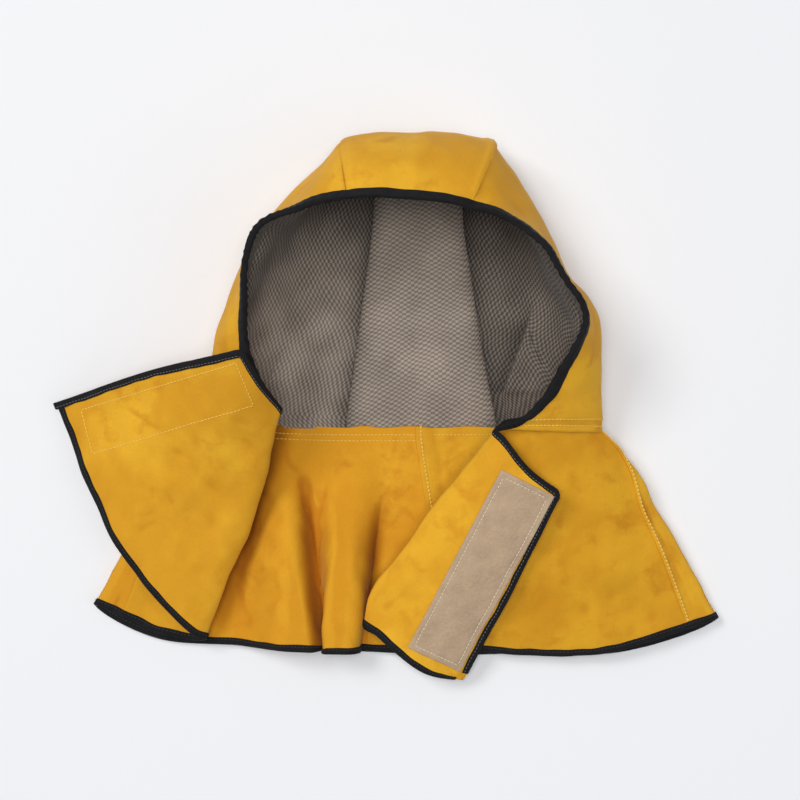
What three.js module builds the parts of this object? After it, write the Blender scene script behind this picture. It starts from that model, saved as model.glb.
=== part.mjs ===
// Flame-resistant welding hood of split leather, lying on its back with the face opening up.
// The crown points to +Y, the shoulder cape to -Y, and both front corners of the cape are folded open.
// Left and right are as seen from above. Millimetres, +Z up.
import * as THREE from 'three';

// Thicknesses
const leather = 1.5;
const netCloth = 1;
const tape = 0.8;
const hookCloth = 1.2;

// Clear space between the leather and what is sewn to it
const netClearance = 0.66;
const stripClearance = 0.55;
const lapClearance = 1.5;
const tapeClearance = 0.4;

// How far the crown strip swells out and the lining swells in
const crownBulge = 5;
const liningPuff = 4;

// How far the side linings hang across from the face edge to the back seam, as a share of a straight line,
// and where along the panel, from crown to neck, this has grown and fades again
const liningSlack = 0.36;
const slackGrown = 0.3;
const slackFades = [0.7, 0.93];

// Widths of the tapes, as shares of the panel under them
const faceTapeShare = 0.0625;
const hemTapeShare = 0.024;
const throatTapeShare = 0.19;
const frontTapeShare = 0.018;

// Where pieces begin and end, as shares of the panel
const lapShare = 0.036;
const liningSetback = 0.025;
const liningSideInset = 0.04;
const liningEnd = 0.984;
const faceTapeEnd = 0.94;
const leftThroatStart = 0.62;
const rightThroatStart = 0.68;
const hemTapeEnd = 0.979;
const throatNeckShare = 0.13;
const crownShare = 0.5;

// Sewing gaps between panels that meet edge to edge, as shares of the panel
const centreInset = 0.005;
const sideSeamInset = 0.0025;
const backSeamInset = 0.0006;

// Side panels of the hood: one row for each section from the crown seam down to the neck.
// Columns run round the section: face edge, wall below it, widest place, lift off the floor, and back seam,
// which lies on the floor.
const sideLeftRows = [
  { rim: [-29, 164, 116], wall: [-33, 190, 102], wide: [-36, 214.5, 66], lift: [-29, 221, 22], seam: [-9, 212] },
  { rim: [-66, 157, 114], wall: [-67, 167, 90], wide: [-71, 180.5, 52], lift: [-56, 191, 14], seam: [-9, 188] },
  { rim: [-96, 146, 110], wall: [-96, 149, 80], wide: [-94.5, 151, 46], lift: [-75, 156, 10], seam: [-10, 157] },
  { rim: [-107, 123, 105], wall: [-112, 120, 76], wide: [-111, 121, 42], lift: [-89, 121, 8], seam: [-14, 123] },
  { rim: [-111, 85, 98], wall: [-122, 84, 72], wide: [-127, 84, 40], lift: [-104, 80, 6], seam: [-20, 80] },
  { rim: [-110, 50, 88], wall: [-132, 46, 68], wide: [-143, 43, 36], lift: [-114, 34, 5], seam: [-26, 34] },
  { rim: [-87, -11, 51], wall: [-119, -11, 49], wide: [-148, -14, 25], lift: [-115, -23, 4], seam: [-35, -27] },
];
const sideRightRows = [
  { rim: [66, 157, 116], wall: [77, 184, 102], wide: [88, 211, 66], lift: [83.5, 220.5, 22], seam: [70, 212] },
  { rim: [95, 150, 113], wall: [102, 161, 90], wide: [110, 183, 52], lift: [101, 192, 14], seam: [67, 184] },
  { rim: [123, 132, 109], wall: [128, 140, 80], wide: [133, 151, 46], lift: [118, 156, 10], seam: [67, 152] },
  { rim: [143, 102, 103], wall: [148, 109, 76], wide: [150, 113, 42], lift: [135, 117, 8], seam: [72, 118] },
  { rim: [162, 71, 93], wall: [169, 72, 68], wide: [176, 74, 38], lift: [152, 73, 6], seam: [78, 77] },
  { rim: [139, 28, 74], wall: [163, 28, 62], wide: [178, 29, 34], lift: [155, 28, 5], seam: [86, 29] },
  { rim: [96, -22, 50], wall: [144, -25, 48], wide: [183, -26, 24], lift: [157, -29, 4], seam: [97, -27] },
];

// Cape panels: one row for each line from the neck to the hem, going round the body.
// A row either starts under the hood's neck edge (which panel, how far round) or at a free throat point.
const backLeftRows = [
  { under: ['left', 0.47], mid: [-186, -91, 22], hem: [-222, -176, 10] },
  { under: ['left', 0.56], mid: [-196, -85, 14], hem: [-245, -167, 7] },
  { under: ['left', 0.66], mid: [-189, -91, 2.5], hem: [-235, -176, 3.9] },
  { under: ['left', 0.82], mid: [-153, -103, 1.5], hem: [-191, -196, 3.9] },
  { under: ['centre', 0.02], mid: [-85, -113, 1.5], hem: [-127, -201, 3.9] },
  { under: ['centre', 0.28], mid: [-21, -118, 1.5], hem: [-47, -205, 3.9] },
  { under: ['centre', 0.52], mid: [47, -118, 1.5], hem: [52, -210, 3.9] },
];
const backRightRows = [
  { under: ['centre', 0.52], mid: [47, -118, 1.5], hem: [52, -210, 3.9] },
  { under: ['centre', 0.98], mid: [108, -116, 1.5], hem: [119, -208, 3.9] },
  { under: ['right', 0.82], mid: [161, -105, 1.5], hem: [199, -207, 3.9] },
  { under: ['right', 0.66], mid: [225, -91, 2.5], hem: [265, -188, 3.9] },
  { under: ['right', 0.56], mid: [233, -93, 14], hem: [280, -179, 7] },
  { under: ['right', 0.47], mid: [222.5, -103, 22], hem: [257, -186, 12] },
];
const frontRightRows = [
  { under: ['right', 0.47], mid: [222.5, -103, 22], hem: [257, -186, 12] },
  { under: ['right', 0.25], mid: [171, -107, 32], hem: [181, -207, 13] },
  { under: ['right', 0.12], mid: [112, -111, 34], hem: [97, -207, 11] },
  { under: ['right', 0.02], mid: [36, -107, 32], hem: [-7, -190, 11] },
  { throat: [91, -18, 57], mid: [27, -100, 39], hem: [-16, -182, 17] },
  { throat: [97, -25, 64], mid: [38, -102, 47], hem: [-7, -189, 24] },
  { throat: [117, -50, 63], mid: [75, -128, 46], hem: [34, -223, 23] },
  { throat: [144, -71, 54], mid: [106, -152, 35], hem: [66, -231, 13] },
];
const frontLeftRows = [
  { under: ['left', 0.47], mid: [-186, -91, 22], hem: [-222, -176, 10] },
  { under: ['left', 0.25], mid: [-154, -94, 20], hem: [-190, -190, 9] },
  { under: ['left', 0.02], mid: [-114, -94, 18], hem: [-160, -197, 9] },
  { throat: [-80, -1, 58], mid: [-109, -85, 26], hem: [-151, -195, 16] },
  { throat: [-89, 6, 68], mid: [-118, -79, 34], hem: [-161, -190, 23] },
  { throat: [-98, 19, 85], mid: [-181, -52, 43], hem: [-223, -118, 25] },
  { throat: [-112, 44, 102], mid: [-191, 28, 60], hem: [-277, 3, 9] },
];

// Waves of the back panels: crest lines in plan from the neck end to the hem end
const waves = [
  { neck: [-84, -62], hem: [-78, -205], halfWidth: 16, height: 19 },
  { neck: [-34, -54], hem: [-34, -205], halfWidth: 14, height: 20 },
];

// Crease of the right lining, in plan, and the half width of the fold
const crease = { from: [128, 88], to: [98, 8], halfWidth: 7 };

// Closure strips: plan centre, direction of the long side in degrees, length and width in plan
const stripRight = { centre: [79, -136.6], turn: 63, length: 166, width: 46, guess: [0.6, 0.9] };
const stripLeft = { centre: [-187, -10], turn: 14, length: 138, width: 40, guess: [0.5, 0.9] };

// Facet counts, and steps to find a place in plan
const planSteps = 12;
const stripColumns = 8;
const stripRows = 3;
const sideColumns = 9;
const sideRows = 12;
const centreColumns = 4;

// A smooth surface through rows of points, pressed flat where it lies on the floor:
// u runs along a row and v from row to row
function surfaceThrough(rows) {
  const curves = rows.map((row) => new THREE.CatmullRomCurve3(row.map((p) => new THREE.Vector3(...p))));
  return (u, v) => {
    const p = new THREE.CatmullRomCurve3(curves.map((curve) => curve.getPoint(u))).getPoint(v);
    p.z = Math.max(p.z, leather);
    return p;
  };
}

// Unit normal of a surface, turned to the outside of the hood by the given sign
function normalAt(surface, u, v, sign) {
  const step = 1e-3;
  const along = surface(Math.min(u + step, 1), v).sub(surface(Math.max(u - step, 0), v));
  const across = surface(u, Math.min(v + step, 1)).sub(surface(u, Math.max(v - step, 0)));
  return along.cross(across).normalize().multiplyScalar(sign);
}

// A point at a distance outside a panel's smooth surface
function offsetPoint(panel, u, v, distance) {
  const normal = normalAt(panel.surface, u, v, panel.sign);
  return panel.surface(u, v).addScaledVector(normal, distance);
}

// The same on the panel's facets, between the corners of one facet
function facetPoint(panel, u, v, distance) {
  const cell = (values, x) => {
    const below = values.filter((value) => value <= x).length;
    return THREE.MathUtils.clamp(below, 1, values.length - 1);
  };
  const i = cell(panel.us, u);
  const j = cell(panel.vs, v);
  const shareU = (u - panel.us[i - 1]) / (panel.us[i] - panel.us[i - 1]);
  const shareV = (v - panel.vs[j - 1]) / (panel.vs[j] - panel.vs[j - 1]);
  const row = (k) => offsetPoint(panel, panel.us[i - 1], panel.vs[k], distance)
    .lerp(offsetPoint(panel, panel.us[i], panel.vs[k], distance), shareU);
  return row(j - 1).lerp(row(j), shareV);
}

// Evenly spaced values from one end to the other
function steps(from, to, count) {
  return Array.from({ length: count + 1 }, (_, i) => from + ((to - from) * i) / count);
}

// Evenly spaced values inside each interval between rows, with a count for each interval,
// drawn in a little at the two ends
function rowSteps(counts, startInset, endInset) {
  const values = [startInset];
  counts.forEach((count, row) => {
    for (let i = 1; i <= count; i += 1) values.push((row + i / count) / counts.length);
  });
  values[values.length - 1] -= endInset;
  return values;
}

// A mesh with one plain material
function meshOf(name, positions, faces, color) {
  const geometry = new THREE.BufferGeometry();
  geometry.setAttribute('position', new THREE.Float32BufferAttribute(positions, 3));
  geometry.setIndex(faces);
  geometry.computeVertexNormals();
  const mesh = new THREE.Mesh(geometry, new THREE.MeshStandardMaterial({ color, roughness: 0.9 }));
  mesh.name = name;
  return mesh;
}

// A closed sheet between two distances from a panel's surface
function sheet(name, color, panel, us, vs, low, high) {
  const positions = [];
  const distanceOf = (d, u, v) => (typeof d === 'function' ? d(u, v) : d);
  for (const distance of [low, high]) {
    for (const v of vs) {
      for (const u of us) positions.push(...facetPoint(panel, u, v, distanceOf(distance, u, v)));
    }
  }
  const at = (layer, i, j) => (layer * vs.length + j) * us.length + i;
  const faces = [];
  const quad = (a, b, c, d) => {
    if (panel.sign > 0) faces.push(a, b, c, a, c, d);
    else faces.push(a, c, b, a, d, c);
  };
  const lastU = us.length - 1;
  const lastV = vs.length - 1;
  for (let j = 0; j < lastV; j += 1) {
    for (let i = 0; i < lastU; i += 1) {
      quad(at(1, i, j), at(1, i + 1, j), at(1, i + 1, j + 1), at(1, i, j + 1));
      quad(at(0, i, j), at(0, i, j + 1), at(0, i + 1, j + 1), at(0, i + 1, j));
    }
    quad(at(0, 0, j + 1), at(0, 0, j), at(1, 0, j), at(1, 0, j + 1));
    quad(at(0, lastU, j), at(0, lastU, j + 1), at(1, lastU, j + 1), at(1, lastU, j));
  }
  for (let i = 0; i < lastU; i += 1) {
    quad(at(0, i, 0), at(0, i + 1, 0), at(1, i + 1, 0), at(1, i, 0));
    quad(at(0, i + 1, lastV), at(0, i, lastV), at(1, i, lastV), at(1, i + 1, lastV));
  }
  return meshOf(name, positions, faces, color);
}

// A piece of a panel's edge under tape: the edge, the place where the tape ends, and both normals.
// The tape lies along the first facet inwards of the edge and is split along the same diagonal:
// edgeFirst says that the diagonal starts on the edge.
function edgeFrame(panel, edge, next, middle, edgeFirst) {
  const place = facetPoint(panel, ...edge, middle);
  const normal = facetPoint(panel, ...edge, middle + 1).sub(place);
  const leg = facetPoint(panel, ...next, middle).sub(place);
  const legNormal = facetPoint(panel, ...next, middle + 1).sub(place).sub(leg);
  const off = leg.clone().normalize().negate();
  return { place, normal: normal.normalize(), leg, legNormal: legNormal.normalize(), off, edgeFirst };
}

// The mitred frame between two runs of tape that meet at a corner
function cornerFrame(before, after) {
  const { place, normal } = after;
  const leg = before.leg.clone().add(after.leg);
  const legNormal = before.legNormal.clone().add(after.legNormal).normalize();
  const off = before.off.clone().add(after.off);
  return { place, normal, leg, legNormal, off, edgeFirst: after.edgeFirst };
}

// Tape folded over an edge and swept along it
function foldedTape(name, color, frames, wrapped) {
  const inner = wrapped / 2 + tapeClearance;
  const outer = inner + tape;
  const nose = tapeClearance + tape;
  const positions = [];
  for (const { place, normal, leg, legNormal, off } of frames) {
    const legEnd = (up) => place.clone().add(leg).addScaledVector(legNormal, up);
    const edgeEnd = (away, up) => place.clone().addScaledVector(off, away).addScaledVector(normal, up);
    const section = [
      legEnd(outer), edgeEnd(nose, outer), edgeEnd(nose, -outer), legEnd(-outer),
      legEnd(-inner), edgeEnd(tapeClearance, -inner), edgeEnd(tapeClearance, inner), legEnd(inner),
    ];
    for (const corner of section) positions.push(...corner);
  }
  const count = 8;
  const run = frames[1].place.clone().sub(frames[0].place);
  const turned = run.dot(frames[0].off.clone().cross(frames[0].normal)) > 0;
  const faces = [];
  const quad = (a, b, c, d) => {
    if (turned) faces.push(a, b, c, a, c, d);
    else faces.push(a, c, b, a, d, c);
  };
  const startsOnLeg = (k) => k === 0 || k === 4;
  for (let s = 0; s + 1 < frames.length; s += 1) {
    for (let k = 0; k < count; k += 1) {
      const next = (k + 1) % count;
      const ring = [s * count + next, s * count + k, (s + 1) * count + k, (s + 1) * count + next];
      if (frames[s].edgeFirst === startsOnLeg(k)) quad(...ring);
      else quad(...ring.slice(1), ring[0]);
    }
  }
  const capQuads = [[0, 1, 6, 7], [1, 2, 5, 6], [2, 3, 4, 5]];
  const end = (frames.length - 1) * count;
  for (const [a, b, c, d] of capQuads) {
    quad(a, b, c, d);
    quad(end + d, end + c, end + b, end + a);
  }
  return meshOf(name, positions, faces, color);
}

// Hood panels
const sideU = [0, ...steps(faceTapeShare, 1, sideColumns)];
const sideV = [0, liningSetback, ...steps(0, 1, sideRows).slice(1)];
const centreT = [
  ...sideU.map((u) => u * crownShare),
  ...sideV.slice(1).map((v) => crownShare + v * (1 - crownShare)),
];
const centreW = steps(centreInset, 1 - centreInset, centreColumns);
const roundSection = (row) => [row.rim, row.wall, row.wide, row.lift, [...row.seam, leather]];
const hood = {
  left: { surface: surfaceThrough(sideLeftRows.map(roundSection)), sign: 1, us: sideU, vs: sideV },
  right: { surface: surfaceThrough(sideRightRows.map(roundSection)), sign: -1, us: sideU, vs: sideV },
};
const seamPoint = (side, t) => {
  if (t < crownShare) return hood[side].surface(t / crownShare, 0);
  return hood[side].surface(1, (t - crownShare) / (1 - crownShare));
};
const ruledCentre = (w, t) => seamPoint('left', t).lerp(seamPoint('right', t), w);
hood.centre = {
  sign: 1,
  us: centreW,
  vs: centreT,
  surface: (w, t) => {
    const rise = Math.max(0, 1 - (t / crownShare) ** 2) * crownBulge * 4 * w * (1 - w);
    return ruledCentre(w, t).addScaledVector(normalAt(ruledCentre, w, t, 1), rise);
  },
};

// Cape panels, tucked inside the neck edge of the hood
const lapInset = netClearance + netCloth + lapClearance + leather;
function capeRow(row) {
  if (row.throat) {
    const throat = new THREE.Vector3(...row.throat);
    const neck = throat.clone().lerp(new THREE.Vector3(...row.mid), throatNeckShare);
    return [throat.toArray(), neck.toArray(), row.mid, row.hem];
  }
  const [side, round] = row.under;
  const lap = side === 'centre' ? lapShare * (1 - crownShare) : lapShare;
  const top = offsetPoint(hood[side], round, 1 - lap, -lapInset);
  const neck = offsetPoint(hood[side], round, 1, -lapInset);
  return [top.toArray(), neck.toArray(), row.mid, row.hem];
}

// Height of the back waves over a place in plan
function waveHeight(x, y) {
  let height = 0;
  for (const wave of waves) {
    const along = THREE.MathUtils.clamp((wave.neck[1] - y) / (wave.neck[1] - wave.hem[1]), 0, 1);
    const crestX = THREE.MathUtils.lerp(wave.neck[0], wave.hem[0], along);
    const rise = THREE.MathUtils.smoothstep(along, 0, 1) * wave.height;
    height += rise * Math.exp(-(((x - crestX) / wave.halfWidth) ** 2));
  }
  return height;
}
function waved(surface) {
  return (u, v) => {
    const p = surface(u, v);
    p.z += waveHeight(p.x, p.y);
    return p;
  };
}
const capeU = [0, throatTapeShare, 1 / 3, 0.42, 0.5, 0.58, 2 / 3, 0.75, 0.83, 0.91, 1 - hemTapeShare, 1];
const girth = {
  backLeft: rowSteps([3, 3, 3, 4, 11, 11], sideSeamInset, backSeamInset),
  backRight: rowSteps([4, 4, 3, 3, 3], backSeamInset, sideSeamInset),
  frontLeft: rowSteps([3, 4, 4, 4, 5, 4], sideSeamInset, 0),
  frontRight: rowSteps([4, 4, 5, 4, 4, 4, 4], sideSeamInset, 0),
};
for (const front of [girth.frontLeft, girth.frontRight]) front.splice(-1, 0, 1 - frontTapeShare);
const capeSurface = (rows) => surfaceThrough(rows.map(capeRow));
const cape = {
  backLeft: { surface: waved(capeSurface(backLeftRows)), sign: -1, us: capeU, vs: girth.backLeft },
  backRight: { surface: waved(capeSurface(backRightRows)), sign: -1, us: capeU, vs: girth.backRight },
  frontLeft: { surface: capeSurface(frontLeftRows), sign: 1, us: capeU, vs: girth.frontLeft },
  frontRight: { surface: capeSurface(frontRightRows), sign: -1, us: capeU, vs: girth.frontRight },
};

// Where a surface passes over a place in plan, found in a few steps from a first guess
function overPlan(surface, x, y, guess) {
  const step = 1e-3;
  let [u, v] = guess;
  for (let n = 0; n < planSteps; n += 1) {
    const p = surface(u, v);
    const along = surface(u + step, v).sub(p).divideScalar(step);
    const across = surface(u, v + step).sub(p).divideScalar(step);
    const area = along.x * across.y - along.y * across.x;
    const dx = x - p.x;
    const dy = y - p.y;
    u = THREE.MathUtils.clamp(u + (dx * across.y - dy * across.x) / area, step, 1 - 2 * step);
    v = THREE.MathUtils.clamp(v + (dy * along.x - dx * along.y) / area, step, 1 - 2 * step);
  }
  return [u, v];
}

// A straight strip laid on a panel
const stripA = steps(0, 1, stripColumns);
const stripB = steps(0, 1, stripRows);
function stripPanel(panel, strip) {
  const turn = THREE.MathUtils.degToRad(strip.turn);
  const surface = (a, b) => {
    const along = (a - 0.5) * strip.length;
    const across = (b - 0.5) * strip.width;
    const x = strip.centre[0] + along * Math.cos(turn) - across * Math.sin(turn);
    const y = strip.centre[1] + along * Math.sin(turn) + across * Math.cos(turn);
    return facetPoint(panel, ...overPlan(panel.surface, x, y, strip.guess), 0);
  };
  const under = overPlan(panel.surface, ...strip.centre, strip.guess);
  const outwards = normalAt(panel.surface, ...under, panel.sign);
  const sign = normalAt(surface, 0.5, 0.5, 1).dot(outwards) > 0 ? 1 : -1;
  return { surface, sign, us: stripA, vs: stripB };
}

// Colours
const hideColor = 0xd39a2c;
const netColor = 0x6f675f;
const tapeColor = 0x26262a;
const stripColor = 0xb9a087;

// Leather and lining of the hood
const liningU = [...sideU.slice(0, -1), 1 - liningSetback];
const liningV = [...sideV.slice(1, -1), liningEnd];
const liningW = [liningSideInset, ...centreW.slice(1, -1), 1 - liningSideInset];
const liningT = [...centreT.slice(0, -1), 1 - (1 - liningEnd) / 2];
const looseFrom = sideU[2];
const loose = (panel) => ({
  ...panel,
  surface: (u, v) => {
    const p = panel.surface(u, v);
    if (u < looseFrom) return p;
    const share = (u - looseFrom) / (1 - looseFrom);
    const straight = panel.surface(looseFrom, v).lerp(panel.surface(1, v), share);
    const grown = THREE.MathUtils.smoothstep(v, 0, slackGrown);
    const faded = THREE.MathUtils.smoothstep(v, ...slackFades);
    return p.lerp(straight, liningSlack * grown * (1 - faded));
  },
});
const looseLeft = loose(hood.left);
const looseRight = loose(hood.right);
const creaseDepth = (panel, u, v) => {
  const p = panel.surface(u, v);
  const along = THREE.MathUtils.clamp((crease.from[1] - p.y) / (crease.from[1] - crease.to[1]), 0, 1);
  const away = p.x - THREE.MathUtils.lerp(crease.from[0], crease.to[0], along);
  return 1 - Math.exp(-((away / crease.halfWidth) ** 2));
};
const rimFacet = sideU[1];
const swell = (x) => Math.sin(Math.PI * THREE.MathUtils.clamp(x, 0, 1)) ** 2;
const sidePuff = (u, v) => liningPuff * swell((u - rimFacet) / (1 - rimFacet)) * swell(v);
const rightPuff = (u, v) => sidePuff(u, v) * creaseDepth(looseRight, u, v);
const centrePuff = (w, t) => liningPuff * swell(w) * swell(t);
const liningSheet = (name, panel, us, vs, puff) => sheet(
  name, netColor, panel, us, vs,
  (u, v) => -netClearance - netCloth - puff(u, v),
  (u, v) => -netClearance - puff(u, v),
);
const leatherSheet = (name, panel) => sheet(name, hideColor, panel, panel.us, panel.vs, 0, leather);
const hoodPieces = [
  leatherSheet('hood_side_left', hood.left),
  leatherSheet('hood_side_right', hood.right),
  leatherSheet('hood_centre_panel', hood.centre),
  liningSheet('lining_left', looseLeft, liningU, liningV, sidePuff),
  liningSheet('lining_right', looseRight, liningU, liningV, rightPuff),
  liningSheet('lining_centre', hood.centre, liningW, liningT, centrePuff),
];

// Leather of the cape
const capePieces = [
  leatherSheet('cape_back_left', cape.backLeft),
  leatherSheet('cape_back_right', cape.backRight),
  leatherSheet('cape_front_left', cape.frontLeft),
  leatherSheet('cape_front_right', cape.frontRight),
];

// Tape round the face opening
const rimMiddle = (leather - netClearance - netCloth) / 2;
const rimStack = leather + netClearance + netCloth;
const rimV = [...sideV.filter((v) => v < faceTapeEnd), faceTapeEnd];
const rimFrame = (panel, edgeFirst) => (v) => (
  edgeFrame(panel, [0, v], [rimFacet, v], rimMiddle, edgeFirst)
);
const crownFrame = (w) => edgeFrame(hood.centre, [w, 0], [w, centreT[1]], rimMiddle, true);
const rimFrames = [
  ...rimV.slice().reverse().map(rimFrame(hood.left, false)),
  ...centreW.slice(1, -1).map(crownFrame),
  ...rimV.map(rimFrame(hood.right, true)),
];

// Tape along the throat edge and the front edge of a folded corner
function frontFrames(panel, start) {
  const lastFacet = panel.vs[panel.vs.length - 2];
  const throatV = [start, ...panel.vs.filter((v) => v > start && v < lastFacet)];
  const frontU = capeU.slice(1);
  const throatFrame = (v) => edgeFrame(panel, [0, v], [capeU[1], v], leather / 2, true);
  const frontFrame = (u) => edgeFrame(panel, [u, 1], [u, lastFacet], leather / 2, false);
  const corner = cornerFrame(throatFrame(1), frontFrame(0));
  return [...throatV.map(throatFrame), corner, ...frontU.map(frontFrame)];
}

// Tape along the whole hem, from one front corner round the back to the other
const hemFacet = capeU[capeU.length - 2];
const hemFrame = (panel, edgeFirst) => (v) => (
  edgeFrame(panel, [1, v], [hemFacet, v], leather / 2, edgeFirst)
);
const onLayer = (panel) => panel.vs.slice(1).filter((v) => v < hemTapeEnd);
const hemFrames = [
  ...[...onLayer(cape.frontLeft), hemTapeEnd].reverse().map(hemFrame(cape.frontLeft, true)),
  ...girth.backLeft.slice(0, -1).map(hemFrame(cape.backLeft, false)),
  ...girth.backRight.map(hemFrame(cape.backRight, false)),
  ...[...onLayer(cape.frontRight), hemTapeEnd].map(hemFrame(cape.frontRight, false)),
];
const tapePieces = [
  foldedTape('face_binding', tapeColor, rimFrames, rimStack),
  foldedTape('front_binding_left', tapeColor, frontFrames(cape.frontLeft, leftThroatStart), leather),
  foldedTape('front_binding_right', tapeColor, frontFrames(cape.frontRight, rightThroatStart), leather),
  foldedTape('hem_binding', tapeColor, hemFrames, leather),
];

// Closure strips
const stripPieces = [
  sheet('closure_strip_right', stripColor, stripPanel(cape.frontRight, stripRight), stripA, stripB,
    -stripClearance - hookCloth, -stripClearance),
  sheet('closure_strip_left', stripColor, stripPanel(cape.frontLeft, stripLeft), stripA, stripB,
    leather + stripClearance, leather + stripClearance + hookCloth),
];

// The part stands with the middle of its box over the origin
const group = new THREE.Group();
group.name = 'welding_hood';
const pieces = new THREE.Group();
pieces.add(...hoodPieces, ...capePieces, ...tapePieces, ...stripPieces);
const box = new THREE.Box3().setFromObject(pieces);
const middle = box.getCenter(new THREE.Vector3());
pieces.position.set(-middle.x, -middle.y, -box.min.z);
group.add(pieces);
export default group;
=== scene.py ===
import math

import bmesh
import bpy
import numpy as np
from mathutils import Matrix


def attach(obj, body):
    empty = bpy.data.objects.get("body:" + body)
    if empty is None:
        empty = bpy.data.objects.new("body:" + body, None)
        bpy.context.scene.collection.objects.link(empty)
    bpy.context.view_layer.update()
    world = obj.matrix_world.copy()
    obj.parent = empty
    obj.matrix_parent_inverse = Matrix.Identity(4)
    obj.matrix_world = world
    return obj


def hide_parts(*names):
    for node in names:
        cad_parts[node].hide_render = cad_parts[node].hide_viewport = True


# Welding hood of split leather, lying on its back: crown to +Y, cape to -Y, face opening up. Metres.
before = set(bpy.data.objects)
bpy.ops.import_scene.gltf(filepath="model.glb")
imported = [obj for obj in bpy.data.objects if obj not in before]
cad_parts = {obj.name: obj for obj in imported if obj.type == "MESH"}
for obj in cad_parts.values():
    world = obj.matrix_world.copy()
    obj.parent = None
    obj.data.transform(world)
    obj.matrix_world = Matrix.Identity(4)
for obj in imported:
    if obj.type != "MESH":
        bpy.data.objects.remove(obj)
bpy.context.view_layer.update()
scene = bpy.context.scene
mm = 0.001
layShift = np.array((-2.437, 3.435, 0.0))  # moves the layout below, in mm, to the part's own middle

cloth = {  # thicknesses and the room between layers
    "leather": 1.5 * mm,
    "net": 1.0 * mm,
    "netGap": 0.66 * mm,
    "tape": 0.8 * mm,
    "tapeGap": 0.2 * mm,
    "strip": 1.2 * mm,
    "stripGap": 0.55 * mm,
    "lapGap": 1.5 * mm,
}
leather = cloth["leather"]


def place(points):
    points = np.array(points, float)
    return (points + layShift[: points.shape[-1]]) * mm


def smooth(x, low, high):
    t = np.clip((x - low) / (high - low), 0, 1)
    return t * t * (3 - 2 * t)


def unit(vectors):
    return vectors / np.maximum(np.linalg.norm(vectors, axis=-1, keepdims=True), 1e-12)


ripple = {"waves": 9, "spread": (0.7, 1.5)}  # sine waves in a random surface, and their spread of pitch


def undulation(p, size, seed):  # smooth random heights of about -1 to 1
    rng = np.random.default_rng(seed)
    total = np.zeros(len(p))
    for _ in range(ripple["waves"]):
        way = unit(rng.normal(size=3)) * rng.uniform(*ripple["spread"]) * 2 * math.pi / size
        total += np.sin(p @ way + rng.uniform(0, 2 * math.pi))
    return total / math.sqrt(ripple["waves"])


def softBumps(p, shape, sizes, seed):  # soft bumps and small creases
    soft, creased = (undulation(p, size, seed + k) for k, size in enumerate(sizes))
    return shape["soft"] * soft + shape["creased"] * creased


# Camera and light

view = {"place": (0.0102, 0.0091, 1.5), "sensor": 36.0, "frameWidth": 0.68}
camera = bpy.data.objects.new("camera", bpy.data.cameras.new("camera"))
camera.location = view["place"]
camera.data.sensor_width = view["sensor"]
camera.data.lens = view["sensor"] * view["place"][2] / view["frameWidth"]
scene.collection.objects.link(camera)
scene.camera = camera
scene.view_settings.view_transform = "Standard"

softboxes = {  # place, side and power of each lamp
    "key": ((-3.0, 2.2, 4.0), 2.0, 121.0),
    "fill": ((1.6, -0.6, 1.8), 1.6, 6.0),
    "top": ((-0.2, 0.2, 5.2), 2.4, 160.0),
}
for name, (spot, side, power) in softboxes.items():
    lamp = bpy.data.objects.new(name, bpy.data.lights.new(name, "AREA"))
    lamp.data.size = side
    lamp.data.energy = power
    lamp.location = spot
    lamp.rotation_euler = (-lamp.location).to_track_quat("-Z", "Y").to_euler()
    scene.collection.objects.link(lamp)
studio = {"colour": (0.93, 0.95, 1.0, 1.0), "strength": 0.17}
scene.world = bpy.data.worlds.new("studio")
scene.world.use_nodes = True
backdrop = scene.world.node_tree.nodes["Background"]
backdrop.inputs["Color"].default_value = studio["colour"]
backdrop.inputs["Strength"].default_value = studio["strength"]
print("stage: camera and light")

# Node helpers


def put(tree, socket, value):
    if isinstance(value, bpy.types.NodeSocket):
        tree.links.new(value, socket)
    else:
        socket.default_value = value


def addNode(tree, kind, settings=None, **values):
    made = tree.nodes.new("ShaderNode" + kind)
    for key, value in (settings or {}).items():
        setattr(made, key, value)
    for key, value in values.items():
        put(tree, made.inputs[key.replace("_", " ")], value)
    return made


def calc(tree, operation, *values):
    made = tree.nodes.new("ShaderNodeMath")
    made.operation = operation
    for socket, value in zip(made.inputs, values):
        put(tree, socket, value)
    return made.outputs[0]


def blend(tree, factor, first, second, mode="MIX"):
    made = tree.nodes.new("ShaderNodeMix")
    made.data_type = "RGBA"
    made.blend_type = mode
    for index, value in ((0, factor), (6, first), (7, second)):
        put(tree, made.inputs[index], value)
    return made.outputs[2]


def spread(tree, value, low, high, toLow=0.0, toHigh=1.0):
    made = addNode(tree, "MapRange", {"interpolation_type": "SMOOTHSTEP"})
    for index, number in enumerate((value, low, high, toLow, toHigh)):
        put(tree, made.inputs[index], number)
    return made.outputs[0]


def cloudAt(tree, at, scale, detail=3.0, rough=0.5):
    return addNode(tree, "TexNoise", Vector=at, Scale=scale, Detail=detail, Roughness=rough).outputs[0]


def drifted(tree, at, scale, reach):  # places moved about by a soft noise
    stray = addNode(tree, "TexNoise", Vector=at, Scale=scale, Detail=2.0).outputs["Color"]
    made = addNode(tree, "VectorMath", {"operation": "MULTIPLY_ADD"})
    for socket, value in zip(made.inputs, (stray, reach, at)):
        put(tree, socket, value)
    return made.outputs[0]


def greyOf(tree, value):
    made = addNode(tree, "CombineColor")
    for socket in made.inputs:
        put(tree, socket, value)
    return made.outputs[0]


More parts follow.
